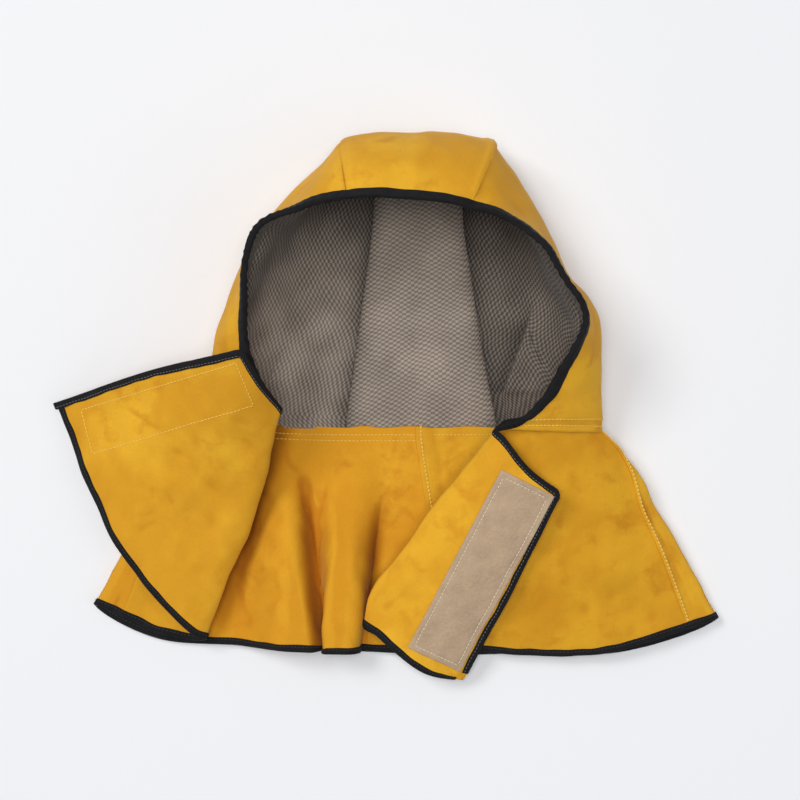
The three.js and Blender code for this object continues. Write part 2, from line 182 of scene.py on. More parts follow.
def newGroup(name, inputs, outputs):
    tree = bpy.data.node_groups.new(name, "ShaderNodeTree")
    for label, kind, value in inputs:
        socket = tree.interface.new_socket(label, in_out="INPUT", socket_type="NodeSocket" + kind)
        if value is not None:
            socket.default_value = value
    for label, kind in outputs:
        tree.interface.new_socket(label, in_out="OUTPUT", socket_type="NodeSocket" + kind)
    return tree, tree.nodes.new("NodeGroupInput").outputs, tree.nodes.new("NodeGroupOutput").inputs


def useGroup(tree, group, **values):
    made = tree.nodes.new("ShaderNodeGroup")
    made.node_tree = group
    for key, value in values.items():
        put(tree, made.inputs[key], value)
    return made.outputs


def newMaterial(name, **fixed):
    material = bpy.data.materials.new(name)
    material.use_nodes = True
    tree = material.node_tree
    shader = tree.nodes["Principled BSDF"]
    for key, value in fixed.items():
        shader.inputs[key.replace("_", " ")].default_value = value
    return material, tree, shader.inputs


def coat(tree, shader, tint, rough, height, bump):  # bump gives strength and depth
    strength, depth = bump
    normal = addNode(tree, "Bump", Height=height, Strength=strength, Distance=depth).outputs[0]
    for socket, value in (("Base Color", tint), ("Roughness", rough), ("Normal", normal)):
        put(tree, shader[socket], value)


def attribute(tree, name, output="Vector"):
    return addNode(tree, "Attribute", {"attribute_name": name}).outputs[output]


# Finishes

vector, colour, number = "Vector", "Color", "Float"
napLook = {
    "warp": 30.0,
    "warpReach": (0.02, 0.02, 0.02),
    "broad": (13.0, 3.0, 0.55),  # scale, detail and roughness of the noise in each marking of the hide
    "patches": (46.0, 4.0, 0.6),
    "pores": (420.0, 3.0, 0.65),
    "hairs": (1500.0, 2.0, 0.6),
    "deepPatches": (0.5, 0.74),  # where a marking starts to show, and where it shows in full
    "deepBroad": (0.36, 0.62),
    "palerBroad": (0.44, 0.68),
    "rubbedWear": (0.1, 1.0),
    # hollows are darker: partly pressed nap, partly painted shade in the creases
    "pressedAndShadedWear": (0.08, 0.9),
    "paler": 0.9,  # how strongly it then shows
    "rubbed": 0.5,
    "pressed": 0.65,
    "grain": 0.16,
    "redder": 0.9,  # where the face value darkens the colour, mostly painted shade in the folds, it also turns redder
    "roughPores": (0.2, 0.8),
    "rough": (0.78, 0.96),
    "hairHeight": 0.35,
    "patchHeight": 1.6,
    "bump": (0.35, 0.0007),
}


def suedeGroup():  # mottled hide with a short nap, lighter where it is rubbed
    tree, given, out = newGroup(
        "suedeNap",
        [("Place", vector, None), ("Light", colour, None), ("Main", colour, None), ("Deep", colour, None),
         ("Wear", number, 0.0), ("Mottle", number, 1.0), ("Face", number, 1.0)],
        [("Colour", colour), ("Roughness", number), ("Height", number)],
    )
    at, wear, face = given["Place"], given["Wear"], given["Face"]
    bent = drifted(tree, at, napLook["warp"], napLook["warpReach"])
    broad = cloudAt(tree, bent, *napLook["broad"])
    patches = cloudAt(tree, bent, *napLook["patches"])
    pores = cloudAt(tree, at, *napLook["pores"])
    hairs = cloudAt(tree, at, *napLook["hairs"])
    dark = spread(tree, patches, *napLook["deepPatches"])
    deep = calc(tree, "MULTIPLY", dark, spread(tree, broad, *napLook["deepBroad"]))
    paler = calc(tree, "MULTIPLY", spread(tree, broad, *napLook["palerBroad"]), napLook["paler"])
    base = blend(tree, paler, given["Main"], given["Light"])
    base = blend(tree, calc(tree, "MULTIPLY", deep, given["Mottle"]), base, given["Deep"])
    rubbed = spread(tree, wear, *napLook["rubbedWear"], 0.0, napLook["rubbed"])
    # Hollows turn darker, partly as pressed nap and partly as painted shade
    hollow = calc(tree, "MULTIPLY", wear, -1.0)
    pressed = spread(tree, hollow, *napLook["pressedAndShadedWear"], 0.0, napLook["pressed"])
    base = blend(tree, pressed, blend(tree, rubbed, base, given["Light"]), given["Deep"])
    grain = calc(tree, "MULTIPLY", calc(tree, "ADD", pores, hairs), napLook["grain"])
    # Each face's tint and the painted shade in the folds darken the colour
    lit = calc(tree, "MULTIPLY", calc(tree, "ADD", grain, 1 - napLook["grain"]), face)
    redder = calc(tree, "MULTIPLY_ADD", face, -napLook["redder"], 1 + napLook["redder"])
    warm = addNode(tree, "Gamma", Color=base, Gamma=calc(tree, "MAXIMUM", redder, 1.0)).outputs[0]
    put(tree, out["Colour"], blend(tree, 1.0, warm, greyOf(tree, lit), "MULTIPLY"))
    put(tree, out["Roughness"], spread(tree, pores, *napLook["roughPores"], *napLook["rough"]))
    fine = calc(tree, "MULTIPLY_ADD", hairs, napLook["hairHeight"], pores)
    put(tree, out["Height"], calc(tree, "MULTIPLY_ADD", patches, napLook["patchHeight"], fine))
    return tree


twillLook = {"cross": 0.35, "dust": (160.0, 4.0, 0.65), "ribs": (-1.0, 1.2), "ribShade": 0.5}


def twillGroup():  # fine slanting ribs of a woven tape
    tree, given, out = newGroup(
        "twillRibs",
        [("Weave", vector, None), ("Pitch", number, 0.0011)],
        [("Height", number), ("Shade", number)],
    )
    along, across, _ = addNode(tree, "SeparateXYZ", Vector=given["Weave"]).outputs
    turn = calc(tree, "DIVIDE", 2 * math.pi, given["Pitch"])
    rib = calc(tree, "SINE", calc(tree, "MULTIPLY", calc(tree, "ADD", along, across), turn))
    cross = calc(tree, "SINE", calc(tree, "MULTIPLY", calc(tree, "SUBTRACT", along, across), turn))
    height = calc(tree, "MULTIPLY_ADD", cross, twillLook["cross"], rib)
    put(tree, out["Height"], height)
    dust = cloudAt(tree, given["Weave"], *twillLook["dust"])
    ribs = spread(tree, height, *twillLook["ribs"])
    put(tree, out["Shade"], calc(tree, "MULTIPLY_ADD", ribs, twillLook["ribShade"], dust))
    return tree


fuzzLook = {
    "tufts": (3.0, 0.7),  # detail and roughness of the noise
    "wide": (3.0, 0.6),
    "wideScale": 0.08,
    "tuftShade": 0.55,
    "wideShade": 0.45,
    "shades": (0.3, 0.7),  # what the shade mostly runs between
}


def fuzzGroup():  # loose short fibres
    tree, given, out = newGroup(
        "looseFibres",
        [("Place", vector, None), ("Size", number, 0.0009)],
        [("Height", number), ("Shade", number)],
    )
    scale = calc(tree, "DIVIDE", 1.0, given["Size"])
    tufts = cloudAt(tree, given["Place"], scale, *fuzzLook["tufts"])
    wideScale = calc(tree, "MULTIPLY", scale, fuzzLook["wideScale"])
    wide = cloudAt(tree, given["Place"], wideScale, *fuzzLook["wide"])
    put(tree, out["Height"], tufts)
    wideShade = calc(tree, "MULTIPLY", wide, fuzzLook["wideShade"])
    put(tree, out["Shade"], calc(tree, "MULTIPLY_ADD", tufts, fuzzLook["tuftShade"], wideShade))
    return tree


groups = {"suede": suedeGroup(), "twill": twillGroup(), "fuzz": fuzzGroup()}

hides = {  # light, main and deep tint of each hide, and how mottled it is
    "goldHide": ((0.745, 0.397, 0.022, 1), (0.637, 0.302, 0.0137, 1), (0.52, 0.196, 0.006, 1), 0.6),
    # the gold hide again, darker and redder: painted shade for the back-left panel
    "shadedGoldHide": ((0.71, 0.35, 0.018, 1), (0.62, 0.272, 0.011, 1), (0.47, 0.16, 0.005, 1), 0.6),
}
hideSheen = {"Sheen_Weight": 0.12, "Sheen_Roughness": 0.45, "Sheen_Tint": (1.0, 0.8, 0.45, 1.0),
             "Specular_IOR_Level": 0.22}


def hideMaterial(name):
    light, main, deep, mottle = hides[name]
    material, tree, shader = newMaterial(name, **hideSheen)
    at = addNode(tree, "TexCoord").outputs["Object"]
    # the weave's third value holds each face's tint and the painted shade in the folds
    face = addNode(tree, "SeparateXYZ", Vector=attribute(tree, "weave")).outputs[2]
    hide = useGroup(tree, groups["suede"], Place=at, Light=light, Main=main, Deep=deep,
                    Wear=attribute(tree, "wear", "Fac"), Mottle=mottle, Face=face)
    coat(tree, shader, hide["Colour"], hide["Roughness"], hide["Height"], napLook["bump"])
    return material


net = {  # lozenge size, and the tints of yarn, ground and drawn-in margin
    "across": 0.0063,
    "along": 0.004,
    "slant": 0.53,  # how much stronger the yarns of one direction show
    "stray": 55.0,  # noise scale and reach of the yarns' wander
    "strayReach": (0.004, 0.004, 0.0),
    "yarnFrom": (-0.32, 0.4),  # where a yarn starts to show, and where it shows in full
    "yarn": (0.43, 0.355, 0.29, 1),
    "ground": (0.22, 0.18, 0.147, 1),
    "groundLight": (0.75, 0.32),  # painted shade: between the yarns, cloth far in is darker still
    "margin": (0.3, 0.285, 0.255, 1),
    "marginDark": (0.13, 0.121, 0.106, 1),
    "marginStretch": (700.0, 50.0, 1.0),
    "marginStreaks": (1.0, 3.0, 0.6),  # scale, detail and roughness of the noise
    "streaksFrom": (0.36, 0.62),
    "marginFrom": (0.3, 0.6),
    "marginMost": (0.0, 0.94),
    "dust": (24.0, 3.0, 0.55),
    "dustFrom": (0.3, 0.7),
    "dustLight": (0.84, 1.04),
    "fibre": 0.0012,
    "fibreHeight": 0.2,
    "rough": (0.7, 0.9),
    "bump": (0.5, 0.0006),
}


def netMaterial():
    material, tree, shader = newMaterial("netLining", Sheen_Weight=0.1, Specular_IOR_Level=0.25)
    # The weave's third value is the lining's painted shade
    along, across, depth = addNode(tree, "SeparateXYZ", Vector=attribute(tree, "weave")).outputs
    weave = addNode(tree, "CombineXYZ", X=along, Y=across).outputs[0]
    strayed = drifted(tree, weave, net["stray"], net["strayReach"])
    x, y, _ = addNode(tree, "SeparateXYZ", Vector=strayed).outputs
    turnX = calc(tree, "MULTIPLY", x, 2 * math.pi / net["across"])
    turnY = calc(tree, "MULTIPLY", y, 2 * math.pi / net["along"])
    rising = calc(tree, "COSINE", calc(tree, "ADD", turnX, turnY))
    falling = calc(tree, "COSINE", calc(tree, "SUBTRACT", turnX, turnY))
    weaker = calc(tree, "MULTIPLY", falling, 1 - net["slant"])
    lozenge = calc(tree, "MULTIPLY_ADD", rising, net["slant"], weaker)
    yarnMask = spread(tree, lozenge, *net["yarnFrom"])
    deeper = greyOf(tree, calc(tree, "MULTIPLY_ADD", depth, *net["groundLight"]))
    ground = blend(tree, 1.0, net["ground"], deeper, "MULTIPLY")
    tint = blend(tree, yarnMask, ground, net["yarn"])
    drawn = addNode(tree, "Mapping", Vector=weave, Scale=net["marginStretch"]).outputs[0]
    streaks = spread(tree, cloudAt(tree, drawn, *net["marginStreaks"]), *net["streaksFrom"])
    margin = blend(tree, streaks, net["margin"], net["marginDark"])
    nearRim = spread(tree, attribute(tree, "wear", "Fac"), *net["marginFrom"], *net["marginMost"])
    tint = blend(tree, nearRim, tint, margin)
    dull = spread(tree, cloudAt(tree, weave, *net["dust"]), *net["dustFrom"], *net["dustLight"])
    tint = blend(tree, 1.0, tint, greyOf(tree, calc(tree, "MULTIPLY", dull, depth)), "MULTIPLY")
    fibres = useGroup(tree, groups["fuzz"], Place=weave, Size=net["fibre"])
    rough = spread(tree, fibres["Shade"], *fuzzLook["shades"], *net["rough"])
    height = calc(tree, "MULTIPLY_ADD", fibres["Height"], net["fibreHeight"], yarnMask)
    coat(tree, shader, tint, rough, height, net["bump"])
    return material


twillTape = {
    "pitch": 0.0014,
    "dark": (0.004, 0.004, 0.0045, 1),
    "light": (0.016, 0.016, 0.018, 1),
    "lightFrom": (0.3, 1.1),
    "roughFrom": (0.2, 1.1),
    "rough": (0.62, 0.85),
    "bump": (0.45, 0.0003),
}


def tapeMaterial():
    material, tree, shader = newMaterial("blackTape", Sheen_Weight=0.02, Specular_IOR_Level=0.15)
    twill = useGroup(tree, groups["twill"], Weave=attribute(tree, "weave"), Pitch=twillTape["pitch"])
    lit = spread(tree, twill["Shade"], *twillTape["lightFrom"])
    tint = blend(tree, lit, twillTape["dark"], twillTape["light"])
    rough = spread(tree, twill["Shade"], *twillTape["roughFrom"], *twillTape["rough"])
    coat(tree, shader, tint, rough, twill["Height"], twillTape["bump"])
    return material


def fibreMaterial(name, dark, light, size, rough, bump, **fixed):  # looped pile or spun thread
    material, tree, shader = newMaterial(name, **fixed)
    at = addNode(tree, "TexCoord").outputs["Object"]
    fibres = useGroup(tree, groups["fuzz"], Place=at, Size=size)
    tint = blend(tree, spread(tree, fibres["Shade"], *fuzzLook["shades"]), dark, light)
    dull = spread(tree, fibres["Shade"], *fuzzLook["shades"], *rough)
    coat(tree, shader, tint, dull, fibres["Height"], bump)
    return material


loopPile = {"dark": (0.41, 0.29, 0.185, 1), "light": (0.53, 0.385, 0.255, 1),
            "size": 0.0011, "rough": (0.8, 0.97), "bump": (0.5, 0.0006),
            "Sheen_Weight": 0.3, "Sheen_Roughness": 0.5, "Specular_IOR_Level": 0.15}
spunThread = {"size": 0.0006, "rough": (0.55, 0.75), "bump": (0.4, 0.0002), "Specular_IOR_Level": 0.3}
threadTints = {  # dark and light tint
    "yellowThread": ((0.74, 0.46, 0.07, 1), (0.86, 0.58, 0.12, 1)),
    "greyThread": ((0.1, 0.1, 0.1, 1), (0.24, 0.235, 0.23, 1)),
    "blackThread": ((0.02, 0.02, 0.02, 1), (0.06, 0.06, 0.06, 1)),
    "creamThread": ((0.6, 0.5, 0.36, 1), (0.78, 0.68, 0.52, 1)),
}
finish = {
    "gold": hideMaterial("goldHide"),
    "shadedGold": hideMaterial("shadedGoldHide"),
    "net": netMaterial(),
    "tape": tapeMaterial(),
    "strip": fibreMaterial("loopPile", **loopPile),
}
for name, (dark, light) in threadTints.items():
    finish[name] = fibreMaterial(name, dark, light, **spunThread)
print("stage: finishes")

# Smooth surfaces through rows of points


def splineAt(points, t):  # curves through points (count, curves, 3), each at its own t from 0 to 1
    last = len(points) - 2
    ends = [2 * points[:1] - points[1:2], points, 2 * points[-1:] - points[-2:-1]]
    chain = np.concatenate(ends)
    x = np.clip(t, 0, 1) * (last + 1)
    k = np.minimum(x.astype(int), last)
    w = (x - k)[:, None]
    curve = np.arange(len(t))
    a, b, c, d = (chain[k + i, curve] for i in range(4))
    ab, bc, cd = (
        np.maximum(np.sum((f - e) ** 2, -1, keepdims=True) ** 0.25, 1e-5) for e, f in ((a, b), (b, c), (c, d))
    )
    start = ((b - a) / ab - (c - a) / (ab + bc) + (c - b) / bc) * bc
    stop = ((c - b) / bc - (d - b) / (bc + cd) + (d - c) / cd) * bc
    return b + start * w + (3 * (c - b) - 2 * start - stop) * w**2 + (2 * (b - c) + start + stop) * w**3


def smoothSheet(rows):  # u along a row, v from row to row; past the ends of u it runs straight on
    rows = np.array(rows, float)

    def inside(u, v):
        sections = [splineAt(np.repeat(row[:, None], len(u), 1), u) for row in rows]
        return splineAt(np.stack(sections), v)

    def base(u, v):
        p = inside(u, v)
        for past, end, inner in ((u < 0, 0.0, 0.1), (u > 1, 1.0, 0.98)):
            if past.any():
                ahead = inside(np.full(past.sum(), inner), v[past])
                p[past] += (p[past] - ahead) * ((u[past] - end) / (end - inner))[:, None]
        p[:, 2] = np.maximum(p[:, 2], leather)
        return p

    return base


def normalOf(panel, u, v):
    step = 1e-3
    (u0, u1), (v0, v1) = panel["domain"]
    base = panel["base"]
    along = base(np.minimum(u + step, u1), v) - base(np.maximum(u - step, u0), v)
    across = base(u, np.minimum(v + step, v1)) - base(u, np.maximum(v - step, v0))
    return unit(np.cross(along, across)) * panel["sign"]


def onPanel(panel, u, v, height=0.0):  # points at a height outside the panel, and the way out
    u, v = (np.asarray(x, float) for x in (u, v))
    p = panel["base"](u, v)
    n = normalOf(panel, u, v)
    return p + n * (height + panel["relief"](u, v, p))[:, None], n


def flatPanel(base, sign, domain=((0, 1), (0, 1))):
    return {"base": base, "sign": sign, "domain": domain, "relief": lambda u, v, p: np.zeros(len(u))}


def speedAt(base, u, v, axis, inwards):  # metres of cloth for one unit of u or v
    step = 2e-3 * inwards
    moved = base(u + step, v) if axis == "u" else base(u, v + step)
    return np.linalg.norm(moved - base(u, v), axis=1) / abs(step)


def evenSteps(base, spacing, axis, at, ends=(0, 1), samples=500):  # values evenly spaced along the cloth
    fine = np.linspace(*ends, samples)
    other = np.full(samples, at)
    p = base(fine, other) if axis == "u" else base(other, fine)
    run = np.concatenate(([0], np.cumsum(np.linalg.norm(np.diff(p, axis=0), axis=1))))
    count = max(2, round(run[-1] / spacing))
    return np.interp(np.linspace(0, run[-1], count + 1), run, fine)


# Hood: face rim, wall, widest, lift and back seam of each section from crown to neck, in mm

hoodShape = {
    "left": [
        [(-29, 164, 116), (-33, 190, 102), (-36, 214.5, 66), (-29, 221, 22), (-9, 212, 1.5)],
        [(-66, 157, 114), (-67, 167, 90), (-71, 180.5, 52), (-56, 191, 14), (-9, 188, 1.5)],
        [(-96, 146, 110), (-96.5, 149, 80), (-94.5, 151, 46), (-75, 156, 10), (-10, 157, 1.5)],
        [(-107, 123, 105), (-112, 120, 76), (-111, 121, 42), (-89, 121, 8), (-14, 123, 1.5)],
        [(-111, 85, 98), (-122, 84, 72), (-127, 84, 40), (-104, 80, 6), (-20, 80, 1.5)],
        [(-110, 50, 88), (-132, 46, 68), (-143, 43, 36), (-114, 34, 5), (-26, 34, 1.5)],
        [(-87, -11, 51), (-119, -11, 49), (-148, -14, 25), (-115, -23, 4), (-35, -27, 1.5)],
    ],
    "right": [
        [(66, 157, 116), (77, 184, 102), (88, 211, 66), (83.5, 220.5, 22), (70, 212, 1.5)],
        [(95, 150, 113), (102, 161, 90), (110, 183, 52), (101, 192, 14), (67, 184, 1.5)],
        [(123, 132, 109), (126.8, 139, 80), (131.6, 150, 46), (118, 156, 10), (67, 152, 1.5)],
        [(143, 102, 103), (145.8, 107.4, 76), (148, 111.6, 42), (135, 117, 8), (72, 118, 1.5)],
        [(162, 71, 93), (169, 72, 68), (176, 74, 38), (152, 73, 6), (78, 77, 1.5)],
        [(139, 28, 74), (163, 28, 62), (178, 29, 34), (155, 28, 5), (86, 29, 1.5)],
        [(96, -22, 50), (144, -25, 48), (183, -26, 24), (157, -29, 4), (97, -27, 1.5)],
    ],
    "crownBulge": 8 * mm,
    "crownLift": 3.4 * mm,  # extra swell right of the crown's middle
    "crownLiftAt": (0.62, 0.17),
    "crownLiftGrows": (0.03, 0.2),
    "crownLiftFades": (0.36, 0.49),
    "wave": (4.5 * mm, -3.5 * mm, 0.0),  # swing of the face edge above the right end of the neck
    "waveGrows": (0.81, 0.9),
    "waveFades": (0.92, 0.99),
    "waveReach": 0.2,
    "soft": 1.3 * mm,
    "creased": 0.45 * mm,
    "sideSizes": (85 * mm, 30 * mm),
    "centreSizes": (80 * mm, 28 * mm),
    "looseAbove": (5 * mm, 35 * mm),  # what lies on the floor is flat
    "pucker": 0.5 * mm,
    "puckerPitch": 8 * mm,
    "puckerDrift": 45 * mm,
    "puckerStray": 2,
    "puckerReach": 9 * mm,
    "seamDip": 1.2 * mm,
    "seamReach": 1.3 * mm,
    "lapRoom": 0.2 * mm,
    "lapWidth": 0.014,
    "lapAcross": (0.93, 1.0),
    "lapAlong": (0.03, 0.06),
    "lapAbove": (8 * mm, 25 * mm),
    "lapFades": (0.3, 0.42),  # no lap where the hood lies on its back
    "lapLeast": 0.02,
    "neckPinch": 2.3 * mm,
    "pinchAt": (0.945, 0.975),
    "neckEnd": 0.987,
    "seeds": {"left": 11, "right": 21, "centre": 31},
    "spacing": 2.1 * mm,
}
# About the length of cloth from rim to back seam, along the rim, and across the crown
wallLength, rimLength, stripWidth = 0.2, 0.24, 0.095


def hoodRelief(seed, seamDip):
    def relief(u, v, p):
        bumps = softBumps(p, hoodShape, hoodShape["sideSizes"], seed)
        drift = hoodShape["puckerStray"] * undulation(p, hoodShape["puckerDrift"], seed + 2)
        beat = v * rimLength * 2 * math.pi / hoodShape["puckerPitch"] + drift
        bumps += hoodShape["pucker"] * np.sin(beat) * np.exp(-u * wallLength / hoodShape["puckerReach"])
        dip = seamDip * np.exp(-v * rimLength / hoodShape["seamReach"])
        pinch = hoodShape["neckPinch"] * smooth(v, *hoodShape["pinchAt"])
        return bumps * smooth(p[:, 2], *hoodShape["looseAbove"]) - dip - pinch

    return relief


def waved(base):
    def swung(u, v):
        swing = smooth(v, *hoodShape["waveGrows"]) * (1 - smooth(v, *hoodShape["waveFades"]))
        return base(u, v) + (swing * np.exp(-u / hoodShape["waveReach"]))[:, None] * hoodShape["wave"]

    return swung


hood = {
    "left": flatPanel(smoothSheet(place(hoodShape["left"])), 1),
    "right": flatPanel(waved(smoothSheet(place(hoodShape["right"]))), -1),
}
hood["left"]["relief"] = hoodRelief(hoodShape["seeds"]["left"], hoodShape["seamDip"])
hood["right"]["relief"] = hoodRelief(hoodShape["seeds"]["right"], 0.0)
crownShare = 0.5  # the centre strip runs over the crown, then down the back


def seamAt(side, t):
    crown = t < crownShare
    u = np.where(crown, t / crownShare, 1.0)
    v = np.where(crown, 0.0, (t - crownShare) / (1 - crownShare))
    return hood[side]["base"](u, v)


def ruledCentre(w, t):
    return seamAt("left", t) * (1 - w)[:, None] + seamAt("right", t) * w[:, None]


def centreBase(w, t):
    across = np.clip(w, 0, 1)
    rise = np.maximum(0, 1 - (t / crownShare) ** 2) * hoodShape["crownBulge"] * (1 - (2 * across - 1) ** 4)
    at, reach = hoodShape["crownLiftAt"]
    swell = np.exp(-(((across - at) / reach) ** 2)) * smooth(t, *hoodShape["crownLiftGrows"])
    rise = rise + hoodShape["crownLift"] * swell * (1 - smooth(t, *hoodShape["crownLiftFades"]))
    p = ruledCentre(across, t) + normalOf(flatPanel(ruledCentre, 1), across, t) * rise[:, None]
    past = w > 1  # the seam lap lies on the right panel
    if past.any():
        width = speedAt(ruledCentre, np.ones(past.sum()), t[past], "u", -1)
        back = np.minimum(t[past] / crownShare, 1)
        depth = speedAt(hood["right"]["base"], back, np.zeros(past.sum()), "v", 1)
        p[past] = hood["right"]["base"](back, (w[past] - 1) * width / depth)
    return p


def centreRelief(w, t, p):
    bumps = softBumps(p, hoodShape, hoodShape["centreSizes"], hoodShape["seeds"]["centre"])
    bumps = bumps * smooth(p[:, 2], *hoodShape["looseAbove"])
    dip = hoodShape["seamDip"] * np.exp(-np.maximum(w, 0) * stripWidth / hoodShape["seamReach"])
    lap = (leather + hoodShape["lapRoom"]) * smooth(w, *hoodShape["lapAcross"])
    lap = lap * smooth(p[:, 2], *hoodShape["lapAbove"]) * smooth(t, *hoodShape["lapAlong"])
    return bumps * np.clip(4 * w * (1 - w), 0, 1) - dip + lap


hood["centre"] = flatPanel(centreBase, 1, domain=((0, 1.1), (0, 1)))  # goes on past 1 for the lap
hood["centre"]["relief"] = centreRelief

# Cape: each row goes from under the hood's neck edge, or from a free throat point, to the hem, in mm

capeShape = {
    "backLeft": [
        (("left", 0.47), (-186, -91, 22), (-222, -176, 10)),
        (("left", 0.56), (-196, -85, 14), (-245, -167, 7)),
        (("left", 0.66), (-189, -91, 2.5), (-235, -176, 3.9)),
        (("left", 0.82), (-153, -103, 1.5), (-191, -196, 3.9)),
        (("centre", 0.02), (-85, -113, 1.5), (-127, -201, 3.9)),
        (("centre", 0.28), (-21, -118, 1.5), (-47, -205, 3.9)),
        (("centre", 0.52), (47, -118, 1.5), (52, -210, 3.9)),
    ],
    "backRight": [
        (("centre", 0.52), (47, -118, 1.5), (52, -210, 3.9)),
        (("centre", 0.98), (108, -116, 1.5), (119, -208, 3.9)),
        (("right", 0.82), (161, -105, 1.5), (199, -207, 3.9)),
        (("right", 0.66), (225, -91, 2.5), (265, -188, 3.9)),
        (("right", 0.56), (233, -93, 14), (280, -179, 7)),
        (("right", 0.47), (222.5, -103, 22), (257, -186, 12)),
    ],
    "frontRight": [
        (("right", 0.47), (222.5, -103, 22), (257, -186, 12)),
        (("right", 0.25), (171, -107, 32), (181, -207, 13)),
        (("right", 0.12), (112, -111, 34), (97, -207, 11)),
        (("right", 0.02), (36, -107, 32), (-7, -190, 11)),
        ((91, -18, 57), (27, -100, 39), (-16, -182, 17)),
        ((97, -25, 64), (38, -102, 47), (-7, -189, 24)),
        ((117, -50, 63), (75, -128, 46), (34, -223, 23)),
        ((144, -71, 54), (106, -152, 35), (66, -231, 13)),
    ],
    "frontLeft": [
        (("left", 0.47), (-186, -91, 22), (-222, -176, 10)),
        (("left", 0.25), (-154, -94, 20), (-190, -190, 9)),
        (("left", 0.02), (-114, -94, 18), (-160, -197, 9)),
        ((-84, -2, 58), (-109, -85, 26), (-151, -195, 16)),
        ((-89, 6, 68), (-118, -79, 34), (-161, -190, 23)),
        ((-98, 19, 85), (-181, -52, 43), (-223, -118, 25)),
        ((-113, 45, 102), (-191, 29, 60), (-277, 3, 9)),
    ],
    "sides": {  # tint of each panel's inner and outer face
        "backLeft": (1.03, 1),
        "backRight": (0.98, 1),
        "frontLeft": (1.02, 1),
        "frontRight": (1.07, 0.93),
    },
    "lap": 0.036,
    "throatNeck": 0.13,
    "soft": 1.1 * mm,
    "creased": 0.4 * mm,
    "sizes": (70 * mm, 26 * mm),
    "floorRise": 0.6 * mm,
    "calmTop": (0.25, 0.45),
    "lapTop": 0.1,
    "lapWave": 0.022,
    "lapBeat": (23, 2, 9),  # waves along the hidden edge, and how far and how fast they drift
    "throatCut": (0.3, 0.42),
    "topRows": 9,
    "seamLap": 0.024,
    "sideLap": 0.011,
    "seamCalm": 0.05,
    "seamRoom": 0.15 * mm,
    "seamReach": 0.03,
    "lapHidden": (0.1, 0.4),  # outside laps end under the hood's edge
    "hemPress": 0.9,
    "hemPressAt": (0.945, 0.972),
    "flare": 12 * mm,  # how far the right side stands out below the neck
    "flareFrom": (130, 175),
    "flareGrows": (12, 40),
    "flareFades": (46, 96),
    "foldPush": (-11 * mm, -3 * mm, 0.0),  # round bulge of the right corner's fold near the hem
    "foldPushAt": (0.88, 0.57),
    "foldPushReach": (0.12, 0.16),
    "cornerRound": 6.5 * mm,
    "spacing": 2.1 * mm,
}
# Folds of the back, in mm: side lines in plan and widths of their slopes, each at neck and hem, then height,
# the lean of each side, and the share of the way down where the fold stands at full height
capeFolds = [
    {"left": ((-112, -48), (-130, -207)), "right": ((-66, -48), (-49, -207)), "slopes": ((30, 48), (24, 14)),
     "height": 25, "lean": (0, 0), "full": 0.45},
    {"left": ((-68, -48), (-47, -207)), "right": ((2, -48), (-22, -207)), "slopes": ((26, 7), (30, 12)),
     "height": 27, "lean": (13, 7), "full": 0.6},
]
foldForm = {"leftFoot": 1.05, "leanLeft": (0.1, 0.8), "leanRight": (0.2, 0.9), "leanDown": (0.3, 0.9)}


def foldMoves(p):  # how far a fold lifts the back, and how far it leans over sideways
    rise, shift = np.zeros(len(p)), np.zeros(len(p))
    for fold in capeFolds:
        ends = [place(fold[side]) for side in ("left", "right")]
        y0, y1 = ends[0][:, 1]
        along = np.clip((y0 - p[:, 1]) / (y0 - y1), 0, 1)
        x0, x1 = (neck[0] + (hem[0] - neck[0]) * along for neck, hem in ends)
        wide0, wide1 = ((neck + (hem - neck) * along) * mm for neck, hem in fold["slopes"])
        left = smooth((p[:, 0] - x0) / wide0, 0, foldForm["leftFoot"])
        right = np.sin(np.clip((x1 - p[:, 0]) / wide1, 0, 1) * math.pi / 2)
        stands = smooth(along, 0, fold["full"]) * left * right
        rise += fold["height"] * mm * stands
        across = (p[:, 0] - x0) / (x1 - x0)
        leanLeft, leanRight = fold["lean"]
        leaning = leanRight * smooth(across, *foldForm["leanRight"])
        leaning = leaning - leanLeft * (1 - smooth(across, *foldForm["leanLeft"]))
        shift += stands * smooth(along, *foldForm["leanDown"]) * leaning * mm
    return rise, shift


def capeRow(start, mid, hem):
    mid, hem = place(mid), place(hem)
    if isinstance(start[0], str):
        side, back = start
        inset = -(cloth["netGap"] + cloth["net"] + cloth["lapGap"] + leather)
        lap = capeShape["lap"] * (crownShare if side == "centre" else 1)
        panel = flatPanel(hood[side]["base"], hood[side]["sign"])
        top, neck = onPanel(panel, [back, back], [1 - lap, 1], inset)[0]
        return [top, neck, mid, hem]
    throat = place(start)
    return [throat, throat + (mid - throat) * capeShape["throatNeck"], mid, hem]


def folded(base):
    def raised(u, v):
        p = base(u, v)
        rise, shift = foldMoves(p)
        p[:, 2] += rise
        p[:, 0] += shift
        return p

    return raised


def flared(base):
    def wide(u, v):
        p = base(u, v)
        x, down = (p[:, 0] / mm - layShift[0]), -(p[:, 1] / mm - layShift[1])
        out = smooth(x, *capeShape["flareFrom"]) * smooth(down, *capeShape["flareGrows"])
        p[:, 0] += capeShape["flare"] * out * (1 - smooth(down, *capeShape["flareFades"]))
        return p

    return wide


def bulged(base):
    def pushed(u, v):
        (atU, atV), (reachU, reachV) = capeShape["foldPushAt"], capeShape["foldPushReach"]
        share = np.exp(-(((u - atU) / reachU) ** 2) - ((v - atV) / reachV) ** 2)
        return base(u, v) + share[:, None] * capeShape["foldPush"]

    return pushed


